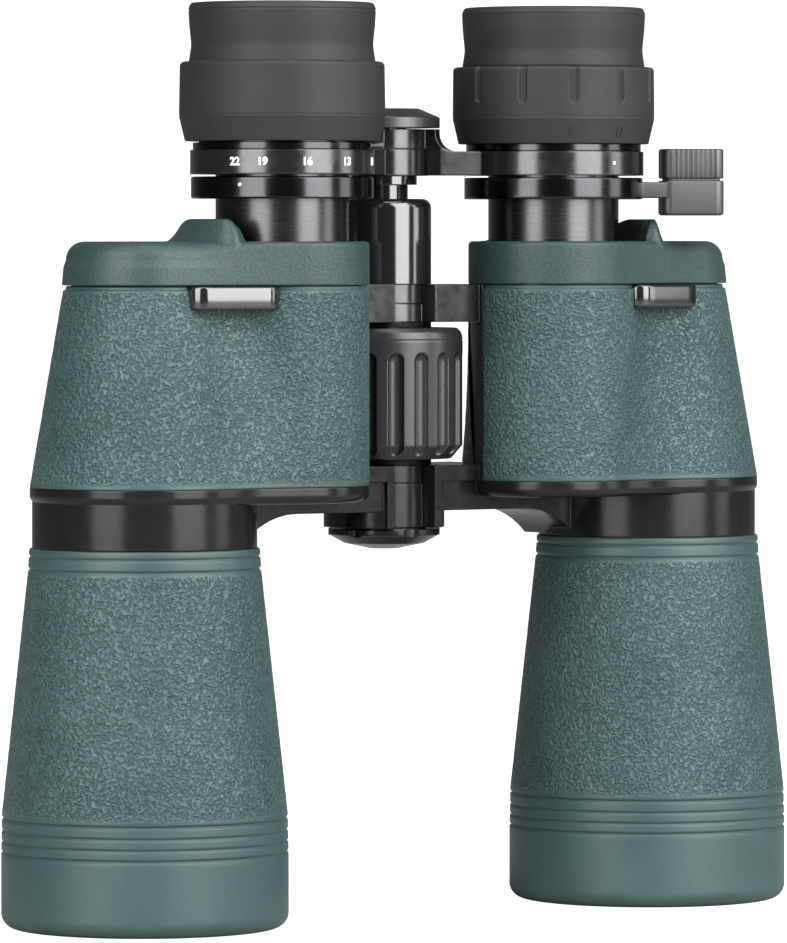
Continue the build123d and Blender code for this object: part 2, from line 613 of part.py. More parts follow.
def hub_fillet():
    """Ring of the hollow that rises from the top of the arms to the wall of the hub."""
    foot, head = BRIDGE_HUB_R + BRIDGE_GUSSET, BRIDGE_TOP_Z + BRIDGE_GUSSET
    inner, low = BRIDGE_HUB_R - 1, BRIDGE_TOP_Z - 1
    middle = BRIDGE_GUSSET * (1 - cos(radians(45)))
    profile = Wire([
        Line((inner, 0, low), (foot, 0, low)),
        Line((foot, 0, low), (foot, 0, BRIDGE_TOP_Z)),
        ThreePointArc(
            (foot, 0, BRIDGE_TOP_Z), (BRIDGE_HUB_R + middle, 0, BRIDGE_TOP_Z + middle),
            (BRIDGE_HUB_R, 0, head),
        ),
        Line((BRIDGE_HUB_R, 0, head), (inner, 0, head)),
        Line((inner, 0, head), (inner, 0, low)),
    ])
    return revolve(make_face(profile), Axis.Z)


def bridge_arm(side):
    """Clamp ring, arm and hub half of the bridge; the left knuckle is the lower one."""
    low, split, top = BRIDGE_HUB
    own = (low, split) if side == "left" else (split + 0.1, top)
    sector = wedge(-90 + BRIDGE_RECESS_HALF_ANGLE, 90 - BACK_HALF_ANGLE, 60, BRIDGE_LOW_Z, top)
    towards_eye = degrees(atan2(EYE_Y - HINGE_Y, EYE_X))
    arm = Rot(0, 0, towards_eye) * block(6, 26, -8.0, 8.0, BRIDGE_LOW_Z, BRIDGE_TOP_Z)
    above_arm = Rot(0, 0, towards_eye) * block(6, 26, -8.0, 8.0, BRIDGE_LOW_Z, top)
    hub = disc(BRIDGE_HUB_R, BRIDGE_LOW_Z, top)
    body = (hub + arm + (hub_fillet() & above_arm)) & sector
    body -= disc(KNUCKLE_R + PART_GAP, 150, 190)
    body += disc(KNUCKLE_R, *own)
    webs = ring(KNUCKLE_R + PART_GAP + 0.4, KNUCKLE_R - 0.5, *own)
    body += webs & sector
    bore = BRIDGE_PIN_R + (0 if side == "left" else RUNNING)
    body = at(HINGE, body - disc(bore, 150, 190))
    clamp = at(E_AXIS, disc(BRIDGE_RING_R, BRIDGE_LOW_Z, BRIDGE_TOP_Z))
    return body + clamp - at(E_AXIS, disc(TUBE_R, 150, 190))


# ---------------------------------------------------------------- hinge and focusing
def hinge_sleeve():
    """The pillar over the upper hinge with the hollow pin on which both upper knuckles sit."""
    pillar = disc(SLEEVE_R, UPPER_HINGE[2], SLEEVE_TOP_Z)
    pillar = fillet(pillar.edges().group_by(Axis.Z)[-1], 2.0)
    pin = disc(PIVOT_R, WHEEL_TOP_Z + 0.2, UPPER_HINGE[2] + 1)
    return at(HINGE, pillar + pin - disc(STEM_R + RUNNING, 120, 170))


def lower_hinge_pin():
    """Pin of the lower hinge, with a flange below and a 1/4 inch tripod thread in its foot."""
    pin = disc(PIVOT_R, LOWER_HINGE[0] - 0.1, LOWER_HINGE[2])
    flange = disc(FOOT_R, FOOT_Z, LOWER_HINGE[0] - 0.1)
    return at(HINGE, pin + flange - disc(TRIPOD_R, FOOT_Z - 1, 95.0))


def tripod_cap():
    """The domed cap that pushes over the hinge pin's foot, scalloped for the fingers."""
    bore, roof, top = FOOT_R + RUNNING, FOOT_Z - 0.1, LOWER_HINGE[0] - 0.4
    cap = turned([
        (0, 80.5), (3.2, 80.5), (9.0, 81.7), (12.0, 83.4), (CAP_R, 83.6), (CAP_R, top), (bore, top),
        (bore, roof), (0, roof),
    ])
    for i in range(6):
        cap -= Pos(*polar((0, 0), 14.6, FRONT_ANGLE + 30 + 60 * i), 82.0) * Cylinder(3.0, 8)
    return at(HINGE, cap)


def focus_screw():
    body = disc(STEM_R, STEM_LOW_Z, 162.0) + disc(7.3, 161.2, BRIDGE_HUB[0])
    body += disc(BRIDGE_PIN_R, 162.0, 173.8)
    return at(HINGE, body - disc(2.0, 160.0, 175))


def focus_nut():
    return at(HINGE, ring(7.6, STEM_R + RUNNING, 104.0, 126.0) + ring(9.0, STEM_R + RUNNING, 104.0, 105.5))


def focus_wheel():
    core = ring(14.0, 7.6, WHEEL_LOW_Z + 0.2, WHEEL_TOP_Z - 0.2)
    return at(HINGE, core - disc(9.0, WHEEL_LOW_Z - 1, 105.5))


def focus_wheel_grip():
    """Rubber sleeve of the wheel with round-ended flutes."""
    body = turned([
        (14.0, WHEEL_LOW_Z), (14.9, WHEEL_LOW_Z), (WHEEL_R, 103.4), (WHEEL_R, 128.4), (16.4, WHEEL_TOP_Z),
        (14.0, WHEEL_TOP_Z),
    ])
    flute_r, depth = 1.9, 1.2
    for i in range(FLUTES):
        angle = FRONT_ANGLE + 8.7 + 360 / FLUTES * i
        middle = polar((0, 0), WHEEL_R + flute_r - depth, angle)
        flute = Pos(*middle, 0) * (disc(flute_r, 101.2, 122.2) + Pos(0, 0, 122.2) * Sphere(flute_r))
        body -= flute
    return at(HINGE, body)


def thrust_washers():
    lower = ring(10.5, 7.05, LOWER_HINGE[2] + 0.1, WHEEL_LOW_Z - 0.1)
    upper = ring(10.5, 7.05, WHEEL_TOP_Z + 0.1, UPPER_HINGE[0] - 0.1)
    return at(HINGE, Compound(children=[lower.solids()[0], upper.solids()[0]]))


def bridge_cap():
    return at(HINGE, turned([
        (0, 178.1), (7.8, 178.1), (12.0, 176.3), (BRIDGE_HUB_R, 176.0), (BRIDGE_HUB_R, 173.8),
        (7.2, 173.8), (7.2, 175.6), (0, 175.6),
    ]))


def bridge_screw():
    return at(HINGE, disc(7.0, 173.8, 175.5) + disc(2.0, 161.0, 174.0) - block(-5, 5, -0.6, 0.6, 174.8, 176))


# ---------------------------------------------------------------- write every node
save_pair("objective_armour", objective_armour())
save_pair("objective_tube", objective_tube())
crown, flint = cemented_pair(LENS_R, *OBJECTIVE_GLASS_Z, OBJECTIVE_SAG)
save_pair("objective_crown_lens", at(O_AXIS, crown))
save_pair("objective_flint_lens", at(O_AXIS, flint))
save_pair("objective_retainer", objective_retainer())

save("right_body_casting", body_casting("right"))
save("left_body_casting", mirrored(body_casting("left")))
save_pair("prism_armour", prism_armour())
save_pair("prism_cover", prism_cover())
save_pair("eyepiece_guide", eyepiece_guide())
save_pair("upper_prism", porro_prism(O_AXIS, TURN_POINT, SHELF_TOP_Z, 1))
save_pair("lower_prism", porro_prism(TURN_POINT, E_AXIS, SHELF_LOW_Z, -1))
save_pair("prism_shelf", prism_shelf())
clips = [prism_clip(O_AXIS, TURN_POINT, SHELF_TOP_Z, 1), prism_clip(TURN_POINT, E_AXIS, SHELF_LOW_Z, -1)]
save_pair("prism_clips", Compound(children=[c.solids()[0] for c in clips]))
save_pair("strap_lug", strap_lug())

# Both eyepieces turn the same way when zoomed, so their zoom parts are copies, not mirror images.
for side, sign in (("right", 1), ("left", -1)):
    axis = (sign * EYE_X, EYE_Y)
    save(f"{side}_eyepiece_tube", at(axis, eyepiece_tube()))
    save(f"{side}_zoom_cam", at(axis, zoom_cam()))
    save(f"{side}_zoom_lens_cell", at(axis, zoom_lens_cell()))
    save(f"{side}_zoom_lens", at(axis, lens(*ZOOM_GLASS)))
    save(f"{side}_eyepiece_head", at(axis, eyepiece_head()))
    save(f"{side}_eye_lens_cell", at(axis, eye_lens_cell()))
    save(f"{side}_eye_lens", at(axis, lens(*EYE_GLASS)))
save("right_zoom_ring", at(E_AXIS, lever(zoom_ring())))
save("left_zoom_ring", at((-EYE_X, EYE_Y), zoom_ring()))
save("zoom_lever_grip", at(E_AXIS, lever_grip()))
save("right_bridge_arm", bridge_arm("right"))
save("left_bridge_arm", mirrored(bridge_arm("left")))
save("right_eyecup", at(E_AXIS, right_eyecup()))
save("left_eyecup", at((-EYE_X, EYE_Y), left_eyecup()))
save("diopter_ring", at(E_AXIS, diopter_ring()))

save("hinge_sleeve", hinge_sleeve())
save("lower_hinge_pin", lower_hinge_pin())
save("tripod_cap", tripod_cap())
save("focus_screw", focus_screw())
save("focus_nut", focus_nut())
save("focus_wheel", focus_wheel())
save("focus_wheel_grip", focus_wheel_grip())
save("thrust_washers", thrust_washers())
save("bridge_cap", bridge_cap())
save("bridge_screw", bridge_screw())
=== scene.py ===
import math

import bmesh
import bpy
import numpy as np
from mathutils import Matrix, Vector, noise


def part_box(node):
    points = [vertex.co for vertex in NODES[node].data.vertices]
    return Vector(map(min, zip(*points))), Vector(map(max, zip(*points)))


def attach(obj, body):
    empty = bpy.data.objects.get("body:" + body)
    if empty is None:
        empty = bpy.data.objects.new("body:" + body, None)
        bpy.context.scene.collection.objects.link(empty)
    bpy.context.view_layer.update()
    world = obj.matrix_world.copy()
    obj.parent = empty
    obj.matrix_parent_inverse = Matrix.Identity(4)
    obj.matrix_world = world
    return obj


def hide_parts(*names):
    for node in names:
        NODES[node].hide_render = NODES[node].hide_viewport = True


# Zoom binoculars standing on their objective rims. Lengths are millimetres in the CAD frame, and
# mm() turns them into Blender's metres.

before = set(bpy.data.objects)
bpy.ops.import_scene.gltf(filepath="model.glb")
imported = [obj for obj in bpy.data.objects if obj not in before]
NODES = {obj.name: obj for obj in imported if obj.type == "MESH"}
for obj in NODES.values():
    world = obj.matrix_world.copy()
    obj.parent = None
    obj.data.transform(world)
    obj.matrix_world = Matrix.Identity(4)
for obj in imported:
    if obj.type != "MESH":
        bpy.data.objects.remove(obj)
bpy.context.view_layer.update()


def mm(value):
    return value / 1000.0


def node_box(node):
    """Lowest and highest corner of a CAD node in millimetres."""
    low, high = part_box(node)
    return np.array(low) * 1000.0, np.array(high) * 1000.0


def node_centre(node):
    low, high = node_box(node)
    return (low + high) / 2


# ---------------------------------------------------------------- places, read from the frame
O_RIGHT = node_centre("right_objective_armour")[:2]
E_RIGHT = node_centre("right_eyepiece_tube")[:2]
HINGE = node_centre("hinge_sleeve")[:2]
SIDES = (("right", 1), ("left", -1))
VIEW_ANGLE = -123.7          # direction from the object to the camera, degrees from +X
CAMERA_DISTANCE = 1667.0
CAMERA_HEIGHT = 151.4
FOCAL_PIXELS = 7500.0
IMAGE_WIDTH, IMAGE_HEIGHT = 787.0, 943.0
HORIZON_ROW, HINGE_COLUMN = 229.0, 384.0

ARMOUR_LOW, ARMOUR_HIGH = node_box("right_objective_armour")
SKIN_LOW, SKIN_HIGH = node_box("right_prism_armour")
COVER_LOW, COVER_HIGH = node_box("right_prism_cover")


def place(side_sign, point):
    """A point of the right side, or its mirror image on the left."""
    return np.array([side_sign * point[0], point[1]])


# ---------------------------------------------------------------- mesh helpers
def smoothstep(low, high, x):
    t = np.clip((np.asarray(x, float) - low) / (high - low), 0.0, 1.0)
    return t * t * (3 - 2 * t)


def add_piece(name, points, faces, material, smooth=True):
    """A mesh object from millimetre points."""
    mesh = bpy.data.meshes.new(name)
    mesh.from_pydata((np.asarray(points, float) / 1000.0).tolist(), [], [tuple(f) for f in faces])
    mesh.validate()
    mesh.polygons.foreach_set("use_smooth", [smooth] * len(mesh.polygons))
    mesh.materials.append(material)
    piece = bpy.data.objects.new(name, mesh)
    bpy.context.scene.collection.objects.link(piece)
    return piece


def grid_faces(rows, columns, wrap, flip=False):
    """Quads of a rows x columns lattice whose columns may close on themselves."""
    row = np.arange(rows - 1)[:, None] * columns
    column = np.arange(columns if wrap else columns - 1)[None, :]
    here, beside = row + column, row + (column + 1) % columns
    quad = [here, beside, beside + columns, here + columns]
    return np.stack(quad[::-1] if flip else quad, axis=-1).reshape(-1, 4)


def rounded_path(corners, step=0.4, arc_step=0.25):
    """A dense outline of (radius, height) points; each corner is (r, z, fillet radius)."""
    pts = [np.array(c[:2], float) for c in corners]
    radii = [c[2] if len(c) > 2 else 0.0 for c in corners]
    path = [pts[0]]

    def run_to(goal):
        start = path[-1]
        length = np.linalg.norm(goal - start)
        count = max(1, int(math.ceil(length / step)))
        for i in range(1, count + 1):
            path.append(start + (goal - start) * i / count)

    for i in range(1, len(pts) - 1):
        before, here, after = pts[i - 1], pts[i], pts[i + 1]
        if radii[i] <= 0:
            run_to(here)
            continue
        u = (before - here) / np.linalg.norm(before - here)
        v = (after - here) / np.linalg.norm(after - here)
        turn = math.acos(np.clip(np.dot(u, v), -1, 1))
        cut = radii[i] / math.tan(turn / 2)
        first, last = here + u * cut, here + v * cut
        middle = here + (u + v) / np.linalg.norm(u + v) * (radii[i] / math.sin(turn / 2))
        run_to(first)
        a0 = math.atan2(*(first - middle)[::-1])
        a1 = math.atan2(*(last - middle)[::-1])
        swing = (a1 - a0 + math.pi) % (2 * math.pi) - math.pi
        count = max(3, int(math.ceil(abs(swing) * radii[i] / arc_step)))
        for k in range(1, count + 1):
            a = a0 + swing * k / count
            path.append(middle + radii[i] * np.array([math.cos(a), math.sin(a)]))
    run_to(pts[-1])
    return np.array(path)


def closing_faces(rows, columns):
    """Quads that join a lattice's last row to its first."""
    here = np.arange(columns)
    after = (here + 1) % columns
    last = (rows - 1) * columns
    return np.stack([here + last, after + last, after, here], axis=-1)


def turned(centre, path, columns, shift=None):
    """(points, faces) of a closed outline turned about a vertical axis."""
    angles = np.arange(columns) * 2 * math.pi / columns
    r = np.repeat(path[:, 0:1], columns, axis=1)
    z = np.repeat(path[:, 1:2], columns, axis=1)
    a = np.repeat(angles[None, :], len(path), axis=0)
    if shift is not None:
        r = r + shift(a, r, z)
    points = np.stack([centre[0] + r * np.cos(a), centre[1] + r * np.sin(a), z], axis=-1).reshape(-1, 3)
    return points, np.concatenate([grid_faces(len(path), columns, True), closing_faces(len(path), columns)])


def lathe(name, centre, path, columns, material, shift):
    """A turned piece; shift(angle, r, z) adds to the radius."""
    points, faces = turned(centre, path, columns, shift)
    return add_piece(name, points, faces, material)


def lifted(plan, height):
    """Plan points raised to a height, or each to its own."""
    return np.column_stack([plan, np.broadcast_to(height, len(plan))])


def fine_line(height, level, depth, width):
    """How far a fine groove round a turned piece draws its surface in."""
    return -depth * np.exp(-((height - level) / width) ** 2)


def from_nearest(angle, first, step):
    """The angle from the nearest of evenly spaced lines, one of them at first."""
    return (angle - first + step / 2) % step - step / 2


def blended(low, high, part):
    return tuple(a + (b - a) * part for a, b in zip(low, high))


def plan_turn(angle):
    """The matrix that turns plan points by an angle, for use on their right-hand side."""
    return np.array([[math.cos(angle), math.sin(angle)], [-math.sin(angle), math.cos(angle)]])


# ---------------------------------------------------------------- materials
class Nodes:
    """A material's node tree with short ways to add and join nodes."""

    def __init__(self, name):
        self.material = bpy.data.materials.new(name)
        self.material.use_nodes = True
        self.tree = self.material.node_tree
        self.tree.nodes.clear()
        self.shader = self.add("ShaderNodeBsdfPrincipled")
        output = self.add("ShaderNodeOutputMaterial")
        self.link(self.shader.outputs["BSDF"], output.inputs["Surface"])
        where = self.add("ShaderNodeTexCoord").outputs["Object"]
        scale = self.add("ShaderNodeVectorMath", operation="SCALE")
        scale.inputs["Scale"].default_value = 1000.0
        self.link(where, scale.inputs[0])
        self.place = scale.outputs[0]        # position in millimetres

    def add(self, kind, **settings):
        node = self.tree.nodes.new(kind)
        for key, value in settings.items():
            setattr(node, key, value)
        return node

    def link(self, source, target):
        self.tree.links.new(source, target)

    def feed(self, socket, value):
        if isinstance(value, bpy.types.NodeSocket):
            self.link(value, socket)
        else:
            socket.default_value = value

    def math(self, operation, first, second):
        node = self.add("ShaderNodeMath", operation=operation)
        self.feed(node.inputs[0], first)
        self.feed(node.inputs[1], second)
        return node.outputs[0]

    def noise(self, scale, detail=3.0, rough=0.55, place=None):
        node = self.add("ShaderNodeTexNoise")
        self.link(place or self.place, node.inputs["Vector"])
        node.inputs["Scale"].default_value = scale
        node.inputs["Detail"].default_value = detail
        node.inputs["Roughness"].default_value = rough
        return node.outputs["Fac"]

    def stretched(self, x, y, z):
        node = self.add("ShaderNodeVectorMath", operation="MULTIPLY")
        self.link(self.place, node.inputs[0])
        node.inputs[1].default_value = (x, y, z)
        return node.outputs[0]

    def creases(self, scale, wander, width):
        """1 in the wandering seams between Voronoi cells, 0 inside them."""
        wave = self.add("ShaderNodeTexNoise")
        self.link(self.place, wave.inputs["Vector"])
        wave.inputs["Scale"].default_value = scale
        wave.inputs["Detail"].default_value = 2.0
        shift = self.add("ShaderNodeVectorMath", operation="SCALE")
        self.link(wave.outputs["Color"], shift.inputs[0])
        shift.inputs["Scale"].default_value = wander * 4.0
        moved = self.add("ShaderNodeVectorMath", operation="ADD")
        self.link(self.place, moved.inputs[0])
        self.link(shift.outputs[0], moved.inputs[1])
        node = self.add("ShaderNodeTexVoronoi", feature="DISTANCE_TO_EDGE")
        self.link(moved.outputs[0], node.inputs["Vector"])
        node.inputs["Scale"].default_value = scale
        return self.span(node.outputs["Distance"], width * 0.25, width, 1.0, 0.0)

    def span(self, value, low, high, to_low, to_high):
        node = self.add("ShaderNodeMapRange", interpolation_type="SMOOTHSTEP")
        self.link(value, node.inputs["Value"])
        node.inputs["From Min"].default_value = low
        node.inputs["From Max"].default_value = high
        node.inputs["To Min"].default_value = to_low
        node.inputs["To Max"].default_value = to_high
        return node.outputs["Result"]

    def mix(self, factor, first, second):
        node = self.add("ShaderNodeMix", data_type="RGBA")
        self.feed(node.inputs["Factor"], factor)
        self.feed(node.inputs[6], first)
        self.feed(node.inputs[7], second)
        return node.outputs[2]

    def bump(self, height, distance_mm, strength=1.0, under=None):
        node = self.add("ShaderNodeBump")
        node.inputs["Strength"].default_value = strength
        node.inputs["Distance"].default_value = distance_mm / 1000.0
        self.link(height, node.inputs["Height"])
        if under is not None:
            self.link(under, node.inputs["Normal"])
        return node.outputs["Normal"]

    def soft_edges(self, radius_mm):
        """A normal that rounds the piece's sharp edges."""
        node = self.add("ShaderNodeBevel", samples=6)
        node.inputs["Radius"].default_value = radius_mm / 1000.0
        return node.outputs["Normal"]

    def set(self, **values):
        for key, value in values.items():
            self.feed(self.shader.inputs[key.replace("_", " ")], value)
        return self.material


def rgb(r, g, b):
    return (r, g, b, 1.0)


GREEN = rgb(0.037, 0.076, 0.075)
# darkest green: fine specks on the bezel, and the painted shade in the armour's creases and crevices
GREEN_DARK = rgb(0.006, 0.015, 0.016)
GREEN_LIGHT = rgb(0.047, 0.092, 0.090)
BAND_SHADE, BEZEL_SHADE = 0.72, 0.55     # moulded bands and bezel against the leather
CHARCOAL = rgb(0.0150, 0.0150, 0.0165)
CHARCOAL_LIGHT = rgb(0.021, 0.021, 0.023)
CREASE_SCALE, CREASE_WANDER = 1.08, 0.48


def green_rubber(name, grained):
    """Dark bluish-green armour; the grained one has short creases between its pebbles, darkened with painted
    shade.
    """
    n = Nodes(name)
    blotch = n.noise(0.05, 2.0)
    colour = n.mix(n.span(blotch, 0.35, 0.65, 0.0, 1.0), GREEN, GREEN_LIGHT)
    smooth = n.mix(1.0 - (BAND_SHADE if grained else BEZEL_SHADE), colour, rgb(0.0, 0.0, 0.0))
    fine = n.noise(6.0, 4.0, 0.6)
    if grained:
        crevice_shade = n.add("ShaderNodeAttribute", attribute_name="crevice_shade").outputs["Fac"]
        shown = n.span(n.noise(1.45, 1.0), 0.40, 0.60, 0.0, 1.0)
        inside = n.add("ShaderNodeAttribute", attribute_name="grained").outputs["Fac"]
        shown = n.math("MULTIPLY", shown, inside)
        crease_shade = n.math("MULTIPLY", n.creases(CREASE_SCALE, CREASE_WANDER, 0.11), shown)
        valley = n.math("MULTIPLY", n.creases(CREASE_SCALE, CREASE_WANDER, 0.36), shown)
        colour = n.mix(inside, smooth, colour)
        # painted shade: the engraved crevices are darkened in the colour
        colour = n.mix(n.math("MULTIPLY", crevice_shade, 0.25), colour, GREEN_DARK)
        # painted shade: the creases' colour is darkened as if shade fell in them
        colour = n.mix(n.math("MULTIPLY", crease_shade, 0.55), colour, GREEN_DARK)
        pebble = n.math("MULTIPLY", n.math("MULTIPLY", n.noise(1.1, 2.0), inside), 0.9)
        height = n.math("SUBTRACT", n.math("ADD", n.math("MULTIPLY", fine, 0.12), pebble), valley)
        normal = n.bump(height, 0.38, 1.0)
        rough = n.span(fine, 0.3, 0.7, 0.32, 0.42)
    else:
        colour = smooth
        speck = n.math("ADD", n.math("MULTIPLY", n.noise(5.0, 3.0, 0.6), 0.4), n.noise(1.6, 3.0, 0.6))
        colour = n.mix(n.span(speck, 0.55, 0.85, 0.0, 0.45), colour, GREEN_DARK)
        normal = n.bump(speck, 0.10, 0.9)
        rough = n.span(fine, 0.3, 0.7, 0.38, 0.48)
    return n.set(Base_Color=colour, Roughness=rough, Normal=normal, Specular_IOR_Level=0.36)


def charcoal_rubber(name, rough, gleam):
    n = Nodes(name)
    fine = n.noise(4.0, 5.0, 0.6)
    dust = n.span(n.noise(0.12, 4.0, 0.65), 0.45, 0.75, 0.0, 0.5)
    colour = n.mix(dust, CHARCOAL, CHARCOAL_LIGHT)
    return n.set(Base_Color=colour, Roughness=n.span(fine, 0.3, 0.7, rough - 0.05, rough + 0.06),
                 Normal=n.bump(fine, 0.012, 0.5), Specular_IOR_Level=gleam)


WALL_Z = (99.4, 130.5)       # the bare housing wall behind the wheel has a wrinkle finish


def black_enamel():
    """Semi-gloss enamel of the castings, smooth but for the wrinkled wall beside the wheel."""
    n = Nodes("black_enamel")
    position = n.add("ShaderNodeSeparateXYZ")
    n.link(n.place, position.inputs[0])
    level = position.outputs["Z"]
    wall = n.math("MULTIPLY", n.span(level, WALL_Z[0], WALL_Z[0] + 0.4, 0.0, 1.0),
                  n.span(level, WALL_Z[1] - 0.4, WALL_Z[1], 1.0, 0.0))
    wrinkle = n.math("ADD", n.creases(1.3, 0.3, 0.25), n.noise(3.0, 4.0, 0.7))
    fine = n.noise(8.0, 3.0)
    height = n.math("ADD", n.math("MULTIPLY", fine, 0.05), n.math("MULTIPLY", wrinkle, wall))
    smooth = n.mix(n.span(fine, 0.4, 0.7, 0.0, 1.0), rgb(0.006, 0.006, 0.0065), rgb(0.010, 0.010, 0.0105))
    colour = n.mix(wall, smooth, n.mix(wrinkle, rgb(0.045, 0.045, 0.045), rgb(0.008, 0.008, 0.008)))
    rough = n.math("ADD", n.span(n.noise(0.5, 2.0), 0.3, 0.7, 0.16, 0.22), n.math("MULTIPLY", wall, 0.15))
    gleam = n.span(level, 112.0, 128.0, 0.30, 0.75)
    return n.set(Base_Color=colour, Roughness=rough, Specular_IOR_Level=gleam,
                 Normal=n.bump(height, 0.10, 0.7, n.soft_edges(0.45)))


def turned_black(name, low, high, rough):
    """Satin anodised metal with fine turning lines around the vertical axis."""
    n = Nodes(name)
    lines = n.noise(1.0, 4.0, 0.7, n.stretched(0.05, 0.05, 14.0))
    smudge = n.noise(0.15, 3.0)
    colour = n.mix(smudge, low, high)
    return n.set(Base_Color=colour, Metallic=1.0,
                 Roughness=n.span(lines, 0.3, 0.7, rough - 0.05, rough + 0.06),
                 Normal=n.bump(lines, 0.003, 0.4, n.soft_edges(0.25)))


def gloss_black():
    n = Nodes("gloss_black")
    ripple = n.noise(0.35, 2.0)
    scuff = n.span(n.noise(0.8, 6.0, 0.7), 0.55, 0.8, 0.0, 0.12)
    return n.set(Base_Color=n.mix(scuff, rgb(0.008, 0.008, 0.009), rgb(0.03, 0.03, 0.03)),
                 Roughness=n.math("ADD", scuff, 0.12), Normal=n.bump(ripple, 0.01, 0.3, n.soft_edges(0.3)),
                 Specular_IOR_Level=1.0)


def satin_plastic():
    n = Nodes("satin_plastic")
    spark = n.noise(7.0, 3.0)
    return n.set(Base_Color=n.mix(spark, rgb(0.011, 0.011, 0.012), rgb(0.022, 0.022, 0.023)),
                 Roughness=n.span(spark, 0.3, 0.7, 0.33, 0.43), Specular_IOR_Level=0.9,
                 Normal=n.bump(spark, 0.014, 0.5, n.soft_edges(0.3)))


def bare_metal(name, low, high, smooth, rough):
    """Uncoated metal with coarse turning lines."""
    n = Nodes(name)
    lines = n.noise(1.0, 3.0, 0.6, n.stretched(0.2, 0.2, 9.0))
    return n.set(Base_Color=n.mix(lines, low, high), Metallic=1.0,
                 Roughness=n.span(lines, 0.3, 0.7, smooth, rough), Normal=n.bump(lines, 0.01, 0.4))


def coated_glass():
    """Multi-coated lens glass: clear, with a faint tint between green and purple."""
    n = Nodes("coated_glass")
    bloom = n.noise(0.05, 2.0)
    colour = n.mix(bloom, rgb(0.72, 0.86, 0.80), rgb(0.80, 0.74, 0.88))
    return n.set(Base_Color=colour, Roughness=0.02, IOR=1.52, Transmission_Weight=1.0)


def prism_glass():
    n = Nodes("prism_glass")
    haze = n.noise(0.3, 3.0)
    return n.set(Base_Color=n.mix(haze, rgb(0.85, 0.92, 0.90), rgb(0.75, 0.86, 0.84)), IOR=1.57,
                 Roughness=n.span(haze, 0.3, 0.7, 0.03, 0.15), Transmission_Weight=1.0)


def white_paint():
    n = Nodes("white_paint")
    wear = n.noise(5.0, 4.0)
    return n.set(Base_Color=n.mix(wear, rgb(0.78, 0.78, 0.77), rgb(0.88, 0.88, 0.87)), Roughness=0.45,
                 Normal=n.bump(wear, 0.01, 0.4))


MATERIALS = {
    "armour": green_rubber("armour_grain", True),
    "bezel": green_rubber("armour_smooth", False),
    "rubber": charcoal_rubber("charcoal_rubber", 0.58, 0.30),
    "grip": charcoal_rubber("grip_rubber", 0.30, 0.50),
    "enamel": black_enamel(),
    "tube": turned_black("satin_tube", rgb(0.058, 0.058, 0.060), rgb(0.080, 0.080, 0.083), 0.26),
    "ring": turned_black("satin_ring", rgb(0.036, 0.036, 0.038), rgb(0.052, 0.052, 0.054), 0.17),
    "cell": turned_black("matt_cell", rgb(0.01, 0.01, 0.01), rgb(0.018, 0.018, 0.018), 0.50),
    "gloss": gloss_black(),
    "plastic": satin_plastic(),
    "steel": bare_metal("bare_steel", rgb(0.30, 0.30, 0.31), rgb(0.42, 0.42, 0.42), 0.25, 0.38),
    "brass": bare_metal("turned_brass", rgb(0.42, 0.29, 0.10), rgb(0.58, 0.42, 0.17), 0.28, 0.40),
    "glass": coated_glass(),
    "prism": prism_glass(),
    "white": white_paint(),
}

CAD_FINISH = {
    "body_casting": "enamel", "eyepiece_guide": "ring", "objective_tube": "cell",
    "objective_crown_lens": "glass", "objective_flint_lens": "glass", "objective_retainer": "cell",
    "upper_prism": "prism", "lower_prism": "prism", "prism_shelf": "steel", "prism_clips": "steel",
    "strap_lug": "gloss", "eyepiece_tube": "tube", "bridge_arm": "enamel", "eyepiece_head": "ring",
    "eye_lens_cell": "cell", "eye_lens": "glass", "zoom_ring": "ring", "zoom_cam": "brass",
    "zoom_lens_cell": "cell", "zoom_lens": "glass", "hinge_sleeve": "gloss", "lower_hinge_pin": "enamel",
    "thrust_washers": "cell", "focus_wheel": "plastic", "focus_nut": "brass", "focus_screw": "gloss",
    "bridge_cap": "plastic", "bridge_screw": "steel", "zoom_lever_grip": "plastic", "tripod_cap": "enamel",
    "prism_armour": "armour", "prism_cover": "bezel", "objective_armour": "armour", "eyecup": "rubber",
    "diopter_ring": "rubber", "focus_wheel_grip": "rubber",
}


def finish_cad_nodes():
    """Gives every carried-over CAD node its detailed material."""
    for name, node in NODES.items():
        kind = name.split("_", 1)[1] if name.startswith(("left_", "right_")) else name
        for slot in node.material_slots:
            slot.material = MATERIALS[CAD_FINISH[kind]]


finish_cad_nodes()


# ---------------------------------------------------------------- leather grain
GRAIN_CELL = 1.35            # size of one pebble
GRAIN_DEPTH = 0.10
GRAIN_SWELL = 0.08
GRAIN_SEED = 1               # fixes the wander of the creases, which would differ from run to run
noise.seed_set(GRAIN_SEED)


def grain(points):
    """(mask 0..1 of the crevices, which darkens the colour as painted shade, height in mm) of the pebbled
    leather at points in mm.
    """
    crevice_shade = np.empty(len(points))
    height = np.empty(len(points))
    for i, (x, y, z) in enumerate(points.tolist()):
        warp = noise.noise_vector((x * 0.9, y * 0.9, z * 0.9)) * 0.35
        spot = Vector((x, y, z)) / GRAIN_CELL + warp
        near = noise.voronoi(spot)[0]
        edge = near[1] - near[0]
        seam = max(0.0, 1.0 - edge / 0.20)
        shown = noise.noise((x * 0.62 + 7.0, y * 0.62, z * 0.62))
        keep = min(1.0, max(0.0, (shown + 0.16) / 0.16))
        crevice_shade[i] = seam * keep
        height[i] = -GRAIN_DEPTH * seam * keep + GRAIN_SWELL * (0.5 - near[0])
    return crevice_shade, height


